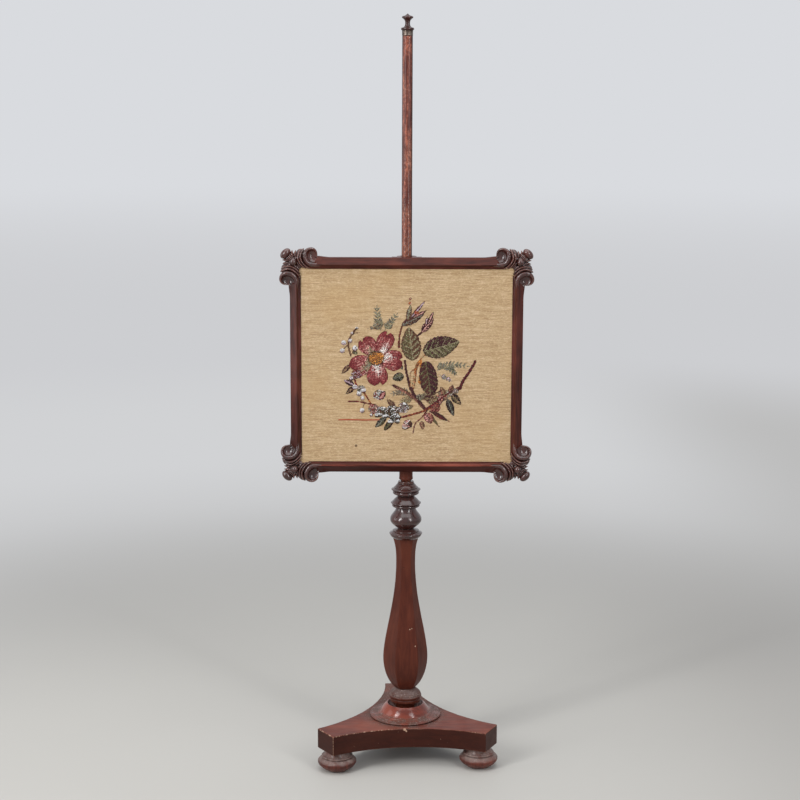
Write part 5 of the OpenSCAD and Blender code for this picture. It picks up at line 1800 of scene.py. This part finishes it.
def area_light(name, place_at, target, size, power):
    """A rectangular softbox that looks at a target, both in metres."""
    data = bpy.data.lights.new(name, "AREA")
    data.shape = "RECTANGLE"
    data.size, data.size_y = size
    data.energy = power
    place_at = np.array(place_at, dtype=float)
    look = np.array(target, dtype=float) - place_at
    look /= np.linalg.norm(look)
    side = np.cross(look, (0, 0, 1))
    side /= np.linalg.norm(side)
    add_object(name, data).matrix_world = matrix_of(side, np.cross(side, look), -look, place_at)


PHOTO_PIXELS = 800
FOCAL_PIXELS = 1800
SENSOR_MM = 36.0
CAMERA_AT = (-0.01253, -3.5476, 1.38786)
CAMERA_DOWN = math.radians(10.31)
CAMERA_ROLL = math.radians(0.17)


def make_camera():
    """Camera of the photograph, tilted down and rolled by a hair."""
    data = bpy.data.cameras.new("camera")
    data.sensor_width = SENSOR_MM
    data.lens = SENSOR_MM * FOCAL_PIXELS / PHOTO_PIXELS
    ahead = np.array([0, math.cos(CAMERA_DOWN), -math.sin(CAMERA_DOWN)])
    right = np.array([1.0, 0, 0])
    up = np.cross(right, ahead)
    x = math.cos(CAMERA_ROLL) * right + math.sin(CAMERA_ROLL) * up
    y = -math.sin(CAMERA_ROLL) * right + math.cos(CAMERA_ROLL) * up
    obj = add_object("camera", data)
    obj.matrix_world = matrix_of(x, y, -ahead, CAMERA_AT)
    bpy.context.scene.camera = obj


def make_world():
    """Soft grey surroundings that light the shadows, shown paler to the camera and in reflections."""
    world = bpy.data.worlds.new("studio")
    world.use_nodes = True
    tree = world.node_tree
    tree.nodes.clear()
    output = tree.nodes.new("ShaderNodeOutputWorld")
    ambient = add_node(tree, "Background", None, Color=(0.80, 0.82, 0.85, 1), Strength=0.30)
    shown = add_node(tree, "Background", None, Color=srgb(*BACKDROP), Strength=1.0)
    mix_shaders(tree, seen_directly(tree), ambient.outputs[0], shown.outputs[0], output)
    bpy.context.scene.world = world


# Place, size and power of each lamp, in metres and watts
LAMPS = {
    "softbox_left": ((-2.4, -2.4, 2.7), (1.2, 1.8), 54),
    "strip_left": ((-2.4, -2.1, 1.45), (0.2, 2.2), 25),
    "softbox_right": ((2.0, -2.7, 2.7), (1.2, 1.8), 29),
    "strip_right": ((2.0, -2.6, 1.45), (0.2, 2.2), 20),
    "overhead": ((0.0, -0.2, 3.4), (3.6, 3.0), 60),
    "side_left": ((-3.2, -0.2, 1.3), (1.4, 2.2), 14),
}
LAMP_TARGET = (0.0, 0.0, 0.75)

make_floor()
for name, (at, size, power) in LAMPS.items():
    area_light(name, at, LAMP_TARGET, size, power)
make_camera()
make_world()
bpy.context.scene.view_settings.view_transform = "Standard"
